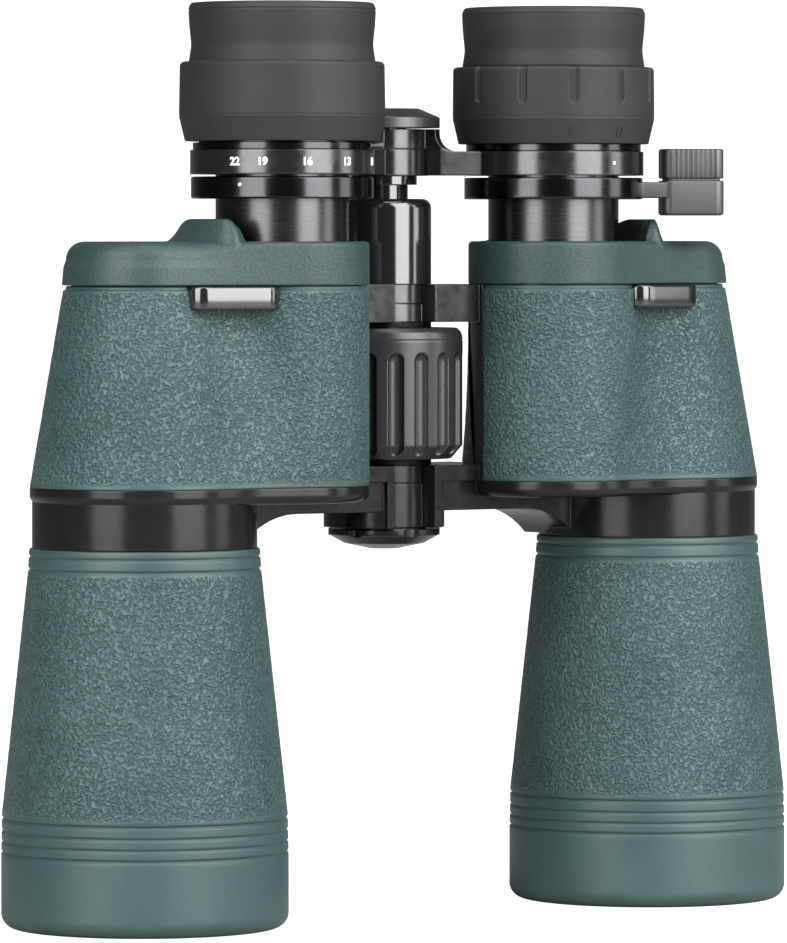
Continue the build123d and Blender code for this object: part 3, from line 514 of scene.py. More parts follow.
def engrave_grain(piece, fade):
    """Presses the grain into a piece: points move along their normals where fade(points) is above 0."""
    mesh = piece.data
    count = len(mesh.vertices)
    flat = np.empty(count * 3)
    mesh.vertices.foreach_get("co", flat)
    points = flat.reshape(-1, 3) * 1000.0
    mesh.vertex_normals.foreach_get("vector", flat)
    normals = flat.reshape(-1, 3).copy()
    weight = fade(points)
    crevice_shade = np.zeros(count)
    height = np.zeros(count)
    chosen = np.nonzero(weight > 0.001)[0]
    crevice_shade[chosen], height[chosen] = grain(points[chosen])
    points += normals * (height * weight)[:, None]
    mesh.vertices.foreach_set("co", (points / 1000.0).reshape(-1))
    # the crevices mask is kept only to darken the armour's colour with painted shade
    for name, values in (("crevice_shade", crevice_shade * weight), ("grained", weight)):
        layer = mesh.attributes.new(name, "FLOAT", "POINT")
        layer.data.foreach_set("value", values.astype(np.float32))
    mesh.update()


# ---------------------------------------------------------------- objective armour
HOOD_R = (ARMOUR_HIGH[0] - ARMOUR_LOW[0]) / 2
BARREL_TOP = ARMOUR_HIGH[2]
HOOD_TOP, CONE_LOW, CONE_TOP = 16.0, 24.9, 77.7
CONE_LOW_R, CONE_TOP_R, BARREL_TOP_R = 31.0, 25.25, 25.0
LIP_R, LIP_TOP = 26.3, 2.5
BORE_LOW_R, BORE_TOP_R = 28.6, 22.9
GROOVES = ((16.6, 0.45), (18.9, 0.38), (21.3, 0.38), (23.9, 0.45), (77.9, 0.45), (80.6, 0.40))
GROOVE_WIDTH = 0.27


def groove_shift(angle, radius, height):
    """Rounded grooves around the hood band and around the top band."""
    cut = sum(fine_line(height, level, depth, GROOVE_WIDTH) for level, depth in GROOVES)
    return np.where(radius > BARREL_TOP_R - 0.9, cut, 0.0)


def objective_armour(side, sign):
    centre = place(sign, O_RIGHT)
    hood = rounded_path([(LIP_R, LIP_TOP), (LIP_R, 0, 0.7), (HOOD_R, 0, 3.3), (HOOD_R, HOOD_TOP)], 0.9, 0.5)
    band = rounded_path([(HOOD_R, HOOD_TOP), (CONE_LOW_R, CONE_LOW)], 0.17)[1:]
    cone = rounded_path([(CONE_LOW_R, CONE_LOW), (CONE_TOP_R, CONE_TOP)], 0.44)[1:]
    crown = [(CONE_TOP_R, CONE_TOP), (BARREL_TOP_R, BARREL_TOP, 0.6), (BORE_TOP_R, BARREL_TOP)]
    top = rounded_path(crown, 0.2)[1:]
    back = np.array([(BORE_TOP_R, CONE_TOP), (BORE_LOW_R, CONE_LOW), (BORE_LOW_R, LIP_TOP)])
    path = np.concatenate([hood, band, cone, top, back])
    piece = lathe(f"{side}_barrel_armour", centre, path, 410, MATERIALS["armour"], groove_shift)

    def fade(points):
        radius = np.hypot(points[:, 0] - centre[0], points[:, 1] - centre[1])
        return (smoothstep(CONE_LOW + 0.1, CONE_LOW + 1.0, points[:, 2])
                * (1 - smoothstep(CONE_TOP - 1.4, CONE_TOP - 0.5, points[:, 2])) * (radius > 24.4))

    engrave_grain(piece, fade)
    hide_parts(f"{side}_objective_armour")
    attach(piece, f"{side}_barrel")
    return piece


# ---------------------------------------------------------------- prism housing
SKIN_Z = (SKIN_LOW[2], SKIN_HIGH[2])
COVER_Z = (COVER_LOW[2], 148.7)
CRESCENT_TOP = COVER_HIGH[2]
E_LOBE_R = 19.0
SKIN_THICK = 1.6
LINK = O_RIGHT - E_RIGHT
LINK_LENGTH = float(np.linalg.norm(LINK))
BARE_EDGES = (180.0, 122.0)      # the armour starts and ends here, degrees about the eyepiece axis

# Radii of the O lobe, the E lobe, the front arc and the back arc, at the bottom and at the top.
HOUSING_RADII = ((24.9, E_LOBE_R, 40.0, 40.0), (17.6, E_LOBE_R, 14.0, 42.0))
COVER_RADII = ((17.9, E_LOBE_R, 400.0, 42.0), (17.0, E_LOBE_R, 400.0, 42.0))


def housing_radii(height):
    return blended(*HOUSING_RADII, (height - SKIN_Z[0]) / (SKIN_Z[1] - SKIN_Z[0]))


def outline(radii, inset, counts, closed):
    """Points round the right housing, anticlockwise from the hinge side, drawn in by an inset."""
    o_r, e_r, front_r, back_r = radii
    o_r, e_r, front_r, back_r = o_r - inset, e_r - inset, front_r + inset, back_r - inset
    along = LINK / LINK_LENGTH
    across = np.array([-along[1], along[0]])

    def centre(from_e, from_o):
        a = (LINK_LENGTH**2 + from_e**2 - from_o**2) / (2 * LINK_LENGTH)
        return E_RIGHT + along * a - across * math.sqrt(from_e**2 - a * a)

    def heading(start, goal):
        return math.atan2(goal[1] - start[1], goal[0] - start[0])

    def arc(middle, radius, first, last, count):
        t = np.linspace(first, last, count, endpoint=False)
        return np.stack([middle[0] + radius * np.cos(t), middle[1] + radius * np.sin(t)], axis=-1)

    front = centre(e_r + front_r, o_r + front_r)
    back = centre(back_r - e_r, back_r - o_r)
    turn = 2 * math.pi
    e_front = heading(E_RIGHT, front) % turn
    o_front = heading(O_RIGHT, front) % turn
    f_start, f_end = heading(front, E_RIGHT), heading(front, O_RIGHT)
    o_back = heading(back, O_RIGHT)
    e_back = heading(back, E_RIGHT)
    e_start, e_end = (math.pi, math.pi) if closed else map(math.radians, BARE_EDGES)
    n1, n2, n3, n4, n5 = counts
    parts = [
        arc(E_RIGHT, e_r, e_start, e_front, n1),
        arc(front, front_r, f_start, f_end, n2),
        arc(O_RIGHT, o_r, o_front - turn, o_back, n3),
        arc(back, back_r, o_back, e_back, n4),
        arc(E_RIGHT, e_r, e_back, e_end, n5),
    ]
    points = np.concatenate(parts)
    if not closed:
        last = E_RIGHT + e_r * np.array([math.cos(e_end), math.sin(e_end)])
        points = np.concatenate([points, last[None, :]])
    return points


def prism_armour(side, sign):
    low, high = SKIN_Z
    shoulder, ridge = high - 0.1, high + 0.75
    profile = rounded_path([(SKIN_THICK, low), (0, low, 0.35), (0, shoulder, 0.3), (0.55, shoulder, 0.15),
                            (0.45, ridge, 0.3), (SKIN_THICK, ridge)], 0.44, 0.15)
    counts = (70, 50, 150, 95, 22)
    rows = []
    for inset, height in profile:
        ring = outline(housing_radii(height), inset, counts, False)
        rows.append(lifted(ring * (sign, 1), height))
    columns = len(rows[0])
    points = np.concatenate(rows)
    total = len(rows)
    faces = grid_faces(total, columns, False, flip=sign < 0)
    inner = closing_faces(total, columns)[:-1]
    starts = range(0, total * columns, columns)
    ends = [list(starts), [start + columns - 1 for start in reversed(starts)]]
    if sign < 0:
        inner = inner[:, ::-1]
        ends = [end[::-1] for end in ends]
    faces = np.concatenate([faces, inner]).tolist() + ends
    piece = add_piece(f"{side}_housing_armour", points, faces, MATERIALS["armour"])

    def fade(points):
        z = points[:, 2]
        reach = np.hypot(points[:, 0] * sign - E_RIGHT[0], points[:, 1] - E_RIGHT[1])
        return (smoothstep(low + 0.9, low + 1.6, z) * (1 - smoothstep(high - 1.1, high - 0.5, z))
                * (reach > E_LOBE_R - 0.3))

    engrave_grain(piece, fade)
    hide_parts(f"{side}_prism_armour")
    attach(piece, f"{side}_barrel")
    return piece


POCKET_R, POCKET_DEPTH, POCKET_TAPER = 21.8, 0.5, 0.4
GUIDE_R = 15.0
CRESCENT_FRONT, CRESCENT_TAIL, CRESCENT_END = (-34.0, -24.0), (2.0, 36.0), (80.0, 108.0)    # degrees
CRESCENT_WALL = (22.9, 25.2)


def crescent(x, y):
    """Height of the raised crescent beside the right eyepiece, over the cover's flat top."""
    dx, dy = x - E_RIGHT[0], y - E_RIGHT[1]
    r = np.hypot(dx, dy)
    angle = np.degrees(np.arctan2(dy, dx))
    full = CRESCENT_TOP - COVER_Z[1]
    front = smoothstep(*CRESCENT_FRONT, angle) ** 0.36
    tail = 1.0 - 0.72 * smoothstep(*CRESCENT_TAIL, angle)
    end = 1.0 - smoothstep(*CRESCENT_END, angle)
    wall = 1.0 - smoothstep(*CRESCENT_WALL, r)
    return full * front * tail * end * wall


def prism_cover(side, sign):
    counts = (60, 60, 110, 90, 20)

    def ring(inset, height):
        radii = blended(*COVER_RADII, (height - COVER_Z[0]) / (COVER_Z[1] - COVER_Z[0]))
        return outline(radii, inset, counts, True)

    base = ring(0.0, COVER_Z[1])
    toward_o = np.dot(base - E_RIGHT, LINK) / LINK_LENGTH**2
    fillet = 1.0 + 3.0 * smoothstep(0.25, 0.85, toward_o)
    rows = []
    foot, knee = COVER_Z[0], COVER_Z[0] + 4.0
    for inset, height in rounded_path([(2.4, foot), (0, foot, 0.35), (0, knee)], 0.5, 0.12):
        rows.append(lifted(ring(inset, height), height))
    wall = ring(0.0, knee)
    inward = ring(1.0, COVER_Z[1]) - ring(0.0, COVER_Z[1])
    steps = 8
    for i in range(1, steps + 1):
        part = i / steps
        height = knee + part * (COVER_Z[1] - fillet - knee)
        rows.append(lifted(wall + (base - wall) * part, height))
    for angle in np.linspace(0, math.pi / 2, 13)[1:]:
        drawn = fillet * (1 - math.cos(angle))
        flat = base + inward * drawn[:, None]
        height = COVER_Z[1] - fillet * (1 - math.sin(angle))
        height = height + crescent(flat[:, 0], flat[:, 1]) * math.sin(angle) ** 0.5
        rows.append(lifted(flat, height))
    rim = rows[-1][:, :2]
    out = rim - E_RIGHT
    distance = np.hypot(out[:, 0], out[:, 1])
    pocket = np.minimum(POCKET_R, distance - 1.0)
    direction = out / distance[:, None]
    green_steps = 18
    for i in range(1, green_steps + 1):
        reach = distance + (pocket - distance) * (i / green_steps)
        flat = E_RIGHT + direction * reach[:, None]
        rows.append(lifted(flat, COVER_Z[1] + crescent(flat[:, 0], flat[:, 1])))
    green_rows = len(rows)
    floor_z = COVER_Z[1] - POCKET_DEPTH
    wall_top = rows[-1][:, 2]
    for inward_by, part in ((0.25, 0.03), (0.35, 0.5), (POCKET_TAPER, 1.0)):
        flat = E_RIGHT + direction * (pocket - inward_by)[:, None]
        rows.append(lifted(flat, wall_top + (floor_z - wall_top) * part))
    for part in (0.5, 1.0):
        reach = (pocket - POCKET_TAPER) + (GUIDE_R - pocket + POCKET_TAPER) * part
        rows.append(lifted(E_RIGHT + direction * reach[:, None], floor_z))
    rows.append(lifted(E_RIGHT + direction * GUIDE_R, foot))
    columns = len(base)
    points = np.concatenate(rows)
    points[:, 0] *= sign
    faces = grid_faces(len(rows), columns, True, flip=sign < 0)
    under = closing_faces(len(rows), columns)
    faces = np.concatenate([faces, under if sign > 0 else under[:, ::-1]])
    piece = add_piece(f"{side}_bezel", points, faces, MATERIALS["bezel"])
    piece.data.materials.append(MATERIALS["plastic"])
    black = np.zeros(len(faces), int)
    black[(green_rows - 1) * columns:] = 1
    piece.data.polygons.foreach_set("material_index", black)
    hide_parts(f"{side}_prism_cover")
    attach(piece, f"{side}_barrel")
    return piece


# ---------------------------------------------------------------- eyecups, diopter ring and wheel
EYE_TOP = 200.6
FLANGE_TOP = {"left": 187.8, "right": 187.4}
HEAD_R = 18.25
FOOT_R, KNEE_R, KNEE_Z = 21.2, 22.5, 175.9
RING_R, RING_LOW = 22.4, 170.3
LIP_LINE, KNEE_LINE, BAND_LINE = (199.0, 0.16, 0.16), (176.1, 0.14, 0.13), (126.9, 0.18, 0.14)


def rim_line(angle, radius, height):
    """The fine moulding lines just under an eyecup's rim and at its flange's knee."""
    lines = fine_line(height, *LIP_LINE) + fine_line(height, *KNEE_LINE)
    return np.where(radius > 19.0, lines, 0.0)


def neck_corners(low):
    return [(20.35, low, 0.25), (19.8, low + 3.6, 6.0), (20.25, low + 8.2, 8.0), (20.45, 199.3, 0.5),
            (19.9, EYE_TOP, 0.7), (17.9, EYE_TOP, 0.9), (16.9, 199.4, 0.8), (16.2, 193.2, 0.5)]


def left_eyecup():
    centre = place(-1, E_RIGHT)
    top = FLANGE_TOP["left"]
    corners = [(HEAD_R, 170.5), (FOOT_R, 170.5, 0.25), (KNEE_R, KNEE_Z, 0.3), (22.3, top, 1.0)]
    corners += neck_corners(top) + [(HEAD_R, 192.3)]
    path = rounded_path(corners, 0.16, 0.15)
    piece = lathe("left_rubber_eyecup", centre, path, 200, MATERIALS["rubber"], rim_line)
    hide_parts("left_eyecup")
    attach(piece, "left_ocular")


def right_eyecup():
    low = FLANGE_TOP["right"]
    path = rounded_path([(HEAD_R + 0.1, low)] + neck_corners(low) + [(HEAD_R + 0.1, 192.4)], 0.45, 0.15)
    piece = lathe("right_rubber_eyecup", E_RIGHT, path, 200, MATERIALS["rubber"], rim_line)
    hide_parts("right_eyecup")
    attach(piece, "diopter")


ZERO_ANGLE = VIEW_ANGLE + 40.8
SLOT_BOTTOM, SLOT_HALF, SLOT_DEPTH = 179.4, 0.88, 0.85


def slot_shift(angle, radius, height):
    """Twelve round-bottomed grip slots, open at the ring's top."""
    across = from_nearest(angle, math.radians(ZERO_ANGLE), math.radians(30)) * RING_R
    below = np.minimum(height - (SLOT_BOTTOM + SLOT_HALF), 0.0)
    reach = np.hypot(across, below)
    inside = 1 - smoothstep(SLOT_HALF - 0.12, SLOT_HALF + 0.12, reach)
    return np.where(radius > 20.9, fine_line(height, *KNEE_LINE) - SLOT_DEPTH * inside, 0.0)


def diopter_ring():
    top = FLANGE_TOP["right"]
    bore = HEAD_R + 0.05
    corners = [(bore, RING_LOW), (FOOT_R, RING_LOW, 0.25), (KNEE_R, KNEE_Z, 0.3), (RING_R, top, 0.9),
               (bore, top)]
    path = rounded_path(corners, 0.28, 0.15)
    piece = lathe("diopter_grip_ring", E_RIGHT, path, 720, MATERIALS["rubber"], slot_shift)
    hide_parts("diopter_ring")
    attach(piece, "diopter")


WHEEL_R, FLUTE_HALF, FLUTE_DEPTH, FLUTES = 17.5, 1.75, 1.25, 18
WHEEL_Z, FLUTE_Z = (100.5, 129.5), (101.4, 124.0)
FIRST_FLUTE = math.radians(VIEW_ANGLE + 8.7)


def flute_shift(angle, radius, height):
    """Round-ended flutes and the fine step under the wheel's top band."""
    across = from_nearest(angle, FIRST_FLUTE, 2 * math.pi / FLUTES) * WHEEL_R
    above = np.maximum(height - (FLUTE_Z[1] - FLUTE_HALF), 0.0)
    below = np.minimum(height - (FLUTE_Z[0] + FLUTE_HALF), 0.0)
    reach = np.hypot(across, above + below) / FLUTE_HALF
    bowl = np.sqrt(np.clip(1 - reach**2, 0, 1))
    return np.where(radius > 14.5, -FLUTE_DEPTH * bowl + fine_line(height, *BAND_LINE), 0.0)


def wheel_grip():
    low, high = WHEEL_Z
    corners = [(14.0, low), (14.9, low, 0.3), (WHEEL_R, 103.4, 0.8), (WHEEL_R, 127.2, 0.5),
               (17.1, 128.6, 0.8), (16.2, high, 0.5), (14.0, high)]
    path = rounded_path(corners, 0.28, 0.15)
    piece = lathe("fluted_wheel_grip", HINGE, path, 630, MATERIALS["grip"], flute_shift)
    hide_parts("focus_wheel_grip")
    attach(piece, "focus_knob")


# ---------------------------------------------------------------- strap lugs and zoom lever
LUG_PLACE, LUG_TURN = (57.2, -21.9), math.radians(12.4)
LUG_HALF, LUG_THICK, LUG_BEND = 10.4, 1.8, 3.7
LUG_LEG, LUG_EDGE = 7.5, 0.6             # how far its ends run back, and its rounded edges


def sweep(name, path, section, material, sign):
    """A closed section of (outward, height) points carried along a plan path of (x, y) points."""
    along = np.gradient(path, axis=0)
    along /= np.linalg.norm(along, axis=1)[:, None]
    outward = np.column_stack([along[:, 1], -along[:, 0]])
    rows = []
    for spot, side in zip(path, outward):
        rows.append(lifted((spot + side * section[:, 0:1]) * (sign, 1), section[:, 1]))
    columns = len(section)
    faces = [tuple(f) for f in grid_faces(len(rows), columns, True, flip=sign > 0).tolist()]
    ends = [tuple(range(columns)), tuple(range((len(rows) - 1) * columns, len(rows) * columns))[::-1]]
    faces += ends if sign > 0 else [end[::-1] for end in ends]
    return add_piece(name, np.concatenate(rows), faces, material)


def rounded_section(half_wide, low, high, radius):
    """An upright rectangle of (outward, height) points with rounded corners, anticlockwise."""
    corners = ((half_wide, high, 0), (-half_wide, high, 90), (-half_wide, low, 180), (half_wide, low, 270))
    points, steps = [], 5
    for x, z, start in corners:
        middle = (x - math.copysign(radius, x), z - radius if z == high else z + radius)
        for k in range(steps + 1):
            a = math.radians(start + 90 * k / steps)
            points.append((middle[0] + radius * math.cos(a), middle[1] + radius * math.sin(a)))
    return np.array(points)


def strap_lug(side, sign):
    """The bar that the strap goes round, bent back to the housing at both ends."""
    low, high = node_box("right_strap_lug")
    reach = LUG_HALF - LUG_THICK / 2
    bend = LUG_BEND - LUG_THICK / 2
    line = [np.array([-reach, y]) for y in np.linspace(LUG_LEG, bend, 6)]
    line += [np.array([-reach + bend * (1 - math.cos(a)), bend * (1 - math.sin(a))])
             for a in np.linspace(0, math.pi / 2, 13)[1:]]
    line += [np.array([x, 0.0]) for x in np.linspace(-reach + bend, reach - bend, 12)[1:]]
    line += [np.array([reach - bend * (1 - math.sin(a)), bend * (1 - math.cos(a))])
             for a in np.linspace(0, math.pi / 2, 13)[1:]]
    line += [np.array([reach, y]) for y in np.linspace(bend, LUG_LEG, 6)[1:]]
    path = np.array(line) @ plan_turn(LUG_TURN) + np.array(LUG_PLACE)
    section = rounded_section(LUG_THICK / 2, low[2], high[2], LUG_EDGE)
    piece = sweep(f"{side}_strap_bar", path, section, MATERIALS["gloss"], sign)
    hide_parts(f"{side}_strap_lug")
    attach(piece, f"{side}_barrel")


LEVER_TURN = math.radians(-25.0)
KNOB_FROM, KNOB_TO, KNOB_HALF = 24.3, 38.2, 4.0
KNOB_LOW, KNOB_JOINT = 154.4, 162.2
KNOB_TOP = float(node_box("zoom_lever_grip")[1][2])
KNOB_RIBS, RIB_DEPTH, KNOB_CORNER = 9, 0.45, 1.9
ARM_SPAN, ARM_Z = (17.0, 29.0), (158.3, 161.9)
BRIDGE_RING_R, ZOOM_RING_R, ZOOM_BORE_R = 20.1, 19.9, 14.7
ZOOM_RING_Z = (158.0, 162.8)
SHARP_EDGE = math.radians(40)            # a fold above this stays crisp under smooth shading


def knob_plan(start, end, half, corner, inset, rib_depth=0.0):
    """Plan of the lever's knob, anticlockwise, with ribs along its two long faces."""
    start, end, half, corner = start + inset, end - inset, half - inset, max(corner - inset, 0.2)
    run = np.linspace(start + corner, end - corner, 109)[1:-1]
    part = (run - run[0]) / (run[-1] - run[0])
    dent = rib_depth * np.abs(np.sin(math.pi * part * KNOB_RIBS)) ** 0.5
    points = []
    corners = ((end - corner, -half + corner, -90), (end - corner, half - corner, 0),
               (start + corner, half - corner, 90), (start + corner, -half + corner, 180))
    points += [(x, -half + d) for x, d in zip(run, dent)]
    for i, (x, y, first) in enumerate(corners):
        for k in range(9):
            a = math.radians(first + 90 * k / 8)
            points.append((x + corner * math.cos(a), y + corner * math.sin(a)))
        if i == 1:
            points += [(x, half - d) for x, d in zip(run[::-1], dent[::-1])]
    return np.array(points)


def lever_block(plan, levels, low_round, high_round):
    """(points, faces) of a block over a plan(inset), its lower and upper edges rounded."""
    low, high = levels
    steps = [(low_round * (1 - math.sin(a)), low + low_round * (1 - math.cos(a)))
             for a in np.linspace(0, math.pi / 2, 5)]
    steps += [(high_round * (1 - math.cos(a)), high - high_round * (1 - math.sin(a)))
              for a in np.linspace(0, math.pi / 2, 5)]
    rows = []
    for inset, height in steps:
        rows.append(lifted(plan(inset) @ plan_turn(LEVER_TURN) + E_RIGHT, height))
    columns = len(rows[0])
    faces = [tuple(f) for f in grid_faces(len(rows), columns, True).tolist()]
    faces.append(tuple(range(columns))[::-1])
    faces.append(tuple(range((len(rows) - 1) * columns, len(rows) * columns)))
    return np.concatenate(rows), faces


def zoom_thumb_piece():
    def plan(inset):
        return knob_plan(KNOB_FROM, KNOB_TO, KNOB_HALF, KNOB_CORNER, inset, RIB_DEPTH)

    points, faces = lever_block(plan, (KNOB_JOINT + 0.45, KNOB_TOP), 0.35, 0.6)
    piece = add_piece("ribbed_thumb_piece", points, faces, MATERIALS["plastic"])
    sharpen(piece)
    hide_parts("zoom_lever_grip")
    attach(piece, "right_zoom")


def sharpen(piece):
    """Marks the piece's sharp edges."""
    mesh = bmesh.new()
    mesh.from_mesh(piece.data)
    for edge in mesh.edges:
        if len(edge.link_faces) == 2 and edge.calc_face_angle(0.0) > SHARP_EDGE:
            edge.smooth = False
    mesh.to_mesh(piece.data)
    mesh.free()


def lever_knob():
    """The right zoom ring with the arm and the lower half of its knob."""
    def knob(inset):
        return knob_plan(KNOB_FROM - 0.05, KNOB_TO + 0.05, KNOB_HALF + 0.05, KNOB_CORNER, inset)

    def arm(inset):
        return knob_plan(*ARM_SPAN, KNOB_HALF - 0.1, 1.2, inset)

    def neck(inset):
        return knob_plan(KNOB_FROM + 0.8, KNOB_TO - 0.8, KNOB_HALF - 0.8, 1.2, inset)

    low, high = ZOOM_RING_Z
    corners = [(ZOOM_BORE_R, low), (ZOOM_RING_R, low, 0.35), (ZOOM_RING_R, high, 0.35), (ZOOM_BORE_R, high)]
    points, band = turned(E_RIGHT, rounded_path(corners, 0.5, 0.12), 180)
    faces = band.tolist()
    blocks = (
        lever_block(knob, (KNOB_LOW, KNOB_JOINT), 0.7, 0.35),
        lever_block(arm, ARM_Z, 0.4, 0.4),
        lever_block(neck, (KNOB_JOINT - 0.5, KNOB_JOINT + 0.6), 0.1, 0.1),
    )
    for spots, sides in blocks:
        faces += [tuple(len(points) + v for v in side) for side in sides]
        points = np.concatenate([points, spots])
    piece = add_piece("right_zoom_lever", points, faces, MATERIALS["ring"])
    sharpen(piece)
    piece.data.materials.append(MATERIALS["plastic"])
    index = np.zeros(len(faces), int)
    index[len(band):] = 1
    piece.data.polygons.foreach_set("material_index", index)
    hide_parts("right_zoom_ring")
    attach(piece, "right_zoom")


# ---------------------------------------------------------------- dial numbers, dots and signs
def text_mesh(words, height, thick, weight):
    """Flat text as a mesh: x to the right and y up, in millimetres, centred on the origin."""
    curve = bpy.data.curves.new("dial_text", "FONT")
    curve.body = words
    curve.align_x = "CENTER"
    curve.align_y = "CENTER"
    curve.size = 1.0
    curve.extrude = 0.2
    curve.bevel_depth = weight
    curve.bevel_resolution = 1
    curve.resolution_u = 6
    holder = bpy.data.objects.new("dial_text", curve)
    mesh = bpy.data.meshes.new_from_object(holder)
    points = np.array([v.co[:] for v in mesh.vertices])
    faces = [tuple(p.vertices) for p in mesh.polygons]
    bpy.data.objects.remove(holder)
    bpy.data.curves.remove(curve)
    bpy.data.meshes.remove(mesh)
    span = points[:, 1].max() - points[:, 1].min()
    middle = (points.max(axis=0) + points.min(axis=0)) / 2
    points = (points - middle) * (height / span)
    depth = points[:, 2].max()
    points[:, 2] *= thick / (2 * depth)
    return points, faces


def wrap(points, centre, radius_at, angle, level):
    """Bends flat points round a vertical axis; their z is the height over the surface."""
    z = level + points[:, 1]
    r = radius_at(z) + points[:, 2]
    a = math.radians(angle) + points[:, 0] / radius_at(level * np.ones(1))[0]
    return np.column_stack([centre[0] + r * np.cos(a), centre[1] + r * np.sin(a), z])


def constant_radius(radius):
    return lambda z: np.full(np.shape(z), radius)


def dial_mark(name, text, centre, radius_at, angle, level, material, body):
    """A raised mark; text is its (words, height, thickness, weight)."""
    points, faces = text_mesh(*text)
    bent = wrap(points, centre, radius_at, angle, level)
    piece = add_piece(name, bent, faces, MATERIALS[material], smooth=False)
    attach(piece, body)


def dot_mark(name, size, centre, radius, angle, level, body):
    """A low round dot of paint."""
    points = [(0.0, 0.0, 0.07)]
    rings = ((0.6, 0.065), (0.9, 0.05), (1.0, -0.05))
    count = 28
    for reach, lift in rings:
        for i in range(count):
            a = 2 * math.pi * i / count
            points.append((size * reach * math.cos(a), size * reach * math.sin(a), lift))
    faces = [(0, 1 + i, 1 + (i + 1) % count) for i in range(count)]
    for k in range(len(rings) - 1):
        low, high = 1 + k * count, 1 + (k + 1) * count
        faces += [(low + i, high + i, high + (i + 1) % count, low + (i + 1) % count) for i in range(count)]
    faces.append(tuple(1 + (len(rings) - 1) * count + i for i in range(count))[::-1])
    piece = add_piece(name, wrap(np.array(points), centre, constant_radius(radius), angle, level), faces,
                      MATERIALS["white"])
    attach(piece, body)


POWER_MARKS = (("22", -29.8), ("19", -11.0), ("16", 17.0), ("13", 45.4), ("10", 77.0))
DIOPTER_SIGNS = (("plus", "+", 2.3, -32.0), ("zero", "0", 2.7, 0.0), ("minus", "-", 0.45, 33.0))
POWER_Z, SIGN_Z, DOT_R = 166.05, 173.0, 0.42


def cone_radius(z):
    """Radius of the diopter ring's sloping foot."""
    return FOOT_R + (KNEE_R - FOOT_R) * (np.asarray(z) - RING_LOW) / (KNEE_Z - RING_LOW)


def dial_marks():
    left_eye = place(-1, E_RIGHT)
    for words, turn in POWER_MARKS:
        dial_mark(f"power_mark_{words}", (words, 1.85, 0.10, 0.035), left_eye, constant_radius(BRIDGE_RING_R),
                  VIEW_ANGLE + turn, POWER_Z, "white", "left_ocular")
    dot_mark("zoom_index_dot", DOT_R, left_eye, ZOOM_RING_R, VIEW_ANGLE - 26.7, 161.0, "left_zoom")
    dot_mark("diopter_index_dot", DOT_R, E_RIGHT, BRIDGE_RING_R, ZERO_ANGLE, 166.0, "right_ocular")
    for name, words, height, turn in DIOPTER_SIGNS:
        dial_mark(f"diopter_sign_{name}", (words, height, 0.32, 0.0), E_RIGHT, cone_radius, ZERO_ANGLE + turn,
                  SIGN_Z, "rubber", "diopter")


for side_name, side_sign in SIDES:
    objective_armour(side_name, side_sign)
    prism_armour(side_name, side_sign)
    prism_cover(side_name, side_sign)
    strap_lug(side_name, side_sign)
zoom_thumb_piece()
lever_knob()
left_eyecup()
right_eyecup()
diopter_ring()
wheel_grip()
dial_marks()


# ---------------------------------------------------------------- camera, light and floor
def view_axes():
    """Unit vectors in plan from the camera to the hinge, and to the picture's right."""
    a = math.radians(VIEW_ANGLE)
    ahead = np.array([-math.cos(a), -math.sin(a)])
    return ahead, np.array([ahead[1], -ahead[0]])


def add_camera():
    ahead, right = view_axes()
    spot = HINGE - ahead * CAMERA_DISTANCE
    swing = (IMAGE_WIDTH / 2 - HINGE_COLUMN) / FOCAL_PIXELS
    level = ahead + right * swing
    level = level / np.linalg.norm(level)
    dip = (IMAGE_HEIGHT / 2 - HORIZON_ROW) / FOCAL_PIXELS
    look = Vector((level[0], level[1], -dip))
    data = bpy.data.cameras.new("camera")
    data.sensor_width = 36.0
    data.sensor_fit = "AUTO"
    data.lens = FOCAL_PIXELS / IMAGE_HEIGHT * data.sensor_width
    data.clip_start = 0.05
    data.clip_end = 50.0
    camera = bpy.data.objects.new("camera", data)
    camera.location = (mm(spot[0]), mm(spot[1]), mm(CAMERA_HEIGHT))
    camera.rotation_euler = look.to_track_quat("-Z", "Y").to_euler()
    bpy.context.scene.collection.objects.link(camera)
    bpy.context.scene.camera = camera


PANELS = (("left_panel", -37, 850, 31.0), ("right_panel", 46, 950, 40.0), ("far_right_panel", 86, 450, 10.0))
PANEL_DISTANCE, PANEL_HEIGHT, PANEL_TALL = 1250, 720, 1500
AIM_HEIGHT = 100.0
ROOM_LIGHT = 0.06


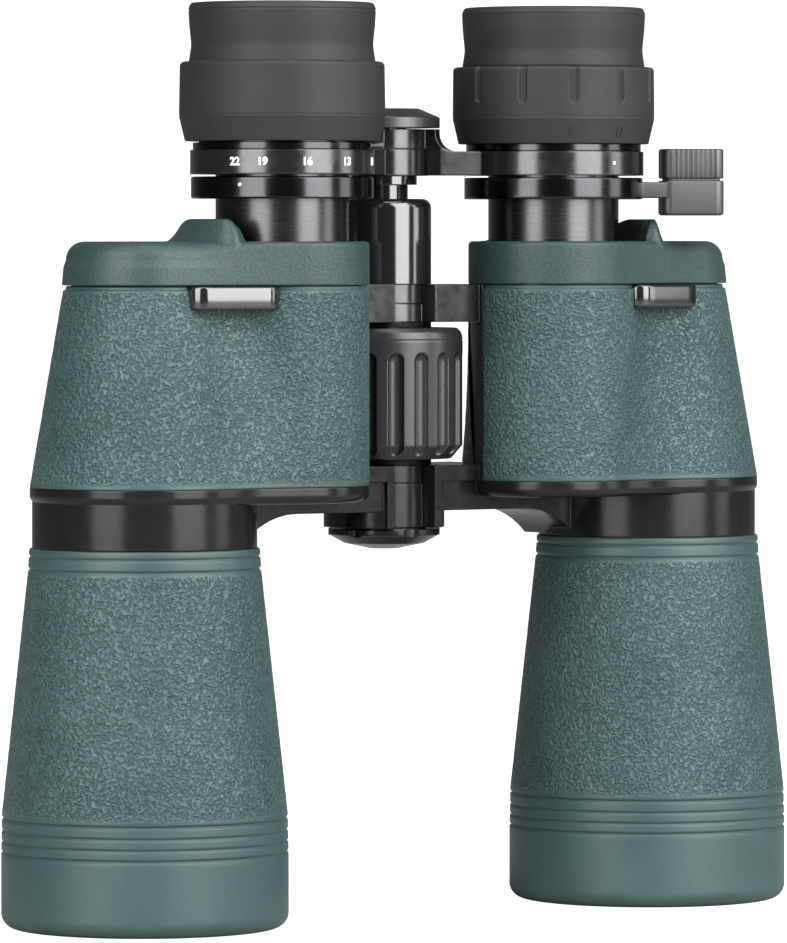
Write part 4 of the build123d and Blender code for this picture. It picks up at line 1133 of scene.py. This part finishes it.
def add_light(name, side, height, depth, width, tall, power):
    """A soft panel: side and depth in millimetres to the picture's right and towards the camera."""
    ahead, right = view_axes()
    plan = HINGE + right * side - ahead * depth
    data = bpy.data.lights.new(name, "AREA")
    data.shape = "RECTANGLE"
    data.size = mm(width)
    data.size_y = mm(tall)
    data.energy = power
    lamp = bpy.data.objects.new(name, data)
    lamp.location = (mm(plan[0]), mm(plan[1]), mm(height))
    target = Vector((mm(HINGE[0]), mm(HINGE[1]), mm(AIM_HEIGHT)))
    lamp.rotation_euler = (target - lamp.location).to_track_quat("-Z", "Y").to_euler()
    bpy.context.scene.collection.objects.link(lamp)


def add_studio():
    """Tall soft panels left and right of the camera, a narrow one far to the right and one above."""
    for name, swing, width, power in PANELS:
        turn = math.radians(swing)
        add_light(name, PANEL_DISTANCE * math.sin(turn), PANEL_HEIGHT, PANEL_DISTANCE * math.cos(turn),
                  width, PANEL_TALL, power)
    add_light("top_panel", 0, 1500, 200, 1100, 700, 9.0)
    world = bpy.data.worlds.new("studio")
    bpy.context.scene.world = world
    world.use_nodes = True
    background = world.node_tree.nodes["Background"]
    background.inputs["Color"].default_value = (1, 1, 1, 1)
    background.inputs["Strength"].default_value = ROOM_LIGHT
    bpy.context.scene.view_settings.view_transform = "Standard"


def add_floor():
    """A pale floor that sweeps up behind the object into a plain pale backdrop."""
    depth, rise, bend = 2600.0, 2600.0, 900.0
    ahead, right = view_axes()
    path = [(-3200.0, 0.0)] + [(x, 0.0) for x in (-800.0, 0.0, 800.0, depth - bend)]
    path += [(depth - bend + bend * math.sin(a), bend - bend * math.cos(a))
             for a in np.linspace(0, math.pi / 2, 17)[1:]]
    path.append((depth, rise))
    points = []
    for along, height in path:
        for across in np.linspace(-4000, 4000, 9):
            spot = HINGE + ahead * along + right * across
            points.append((spot[0], spot[1], height - 0.05))
    n = Nodes("pale_floor")
    mottle = n.noise(0.01, 2.0)
    colour = n.mix(mottle, rgb(0.32, 0.32, 0.32), rgb(0.36, 0.36, 0.36))
    seen = n.add("ShaderNodeLightPath").outputs["Is Camera Ray"]
    n.shader.inputs["Emission Color"].default_value = (1, 1, 1, 1)
    n.link(seen, n.shader.inputs["Emission Strength"])
    material = n.set(Base_Color=colour, Roughness=0.9)
    add_piece("floor", points, grid_faces(len(path), 9, False), material)


add_studio()
add_floor()
add_camera()
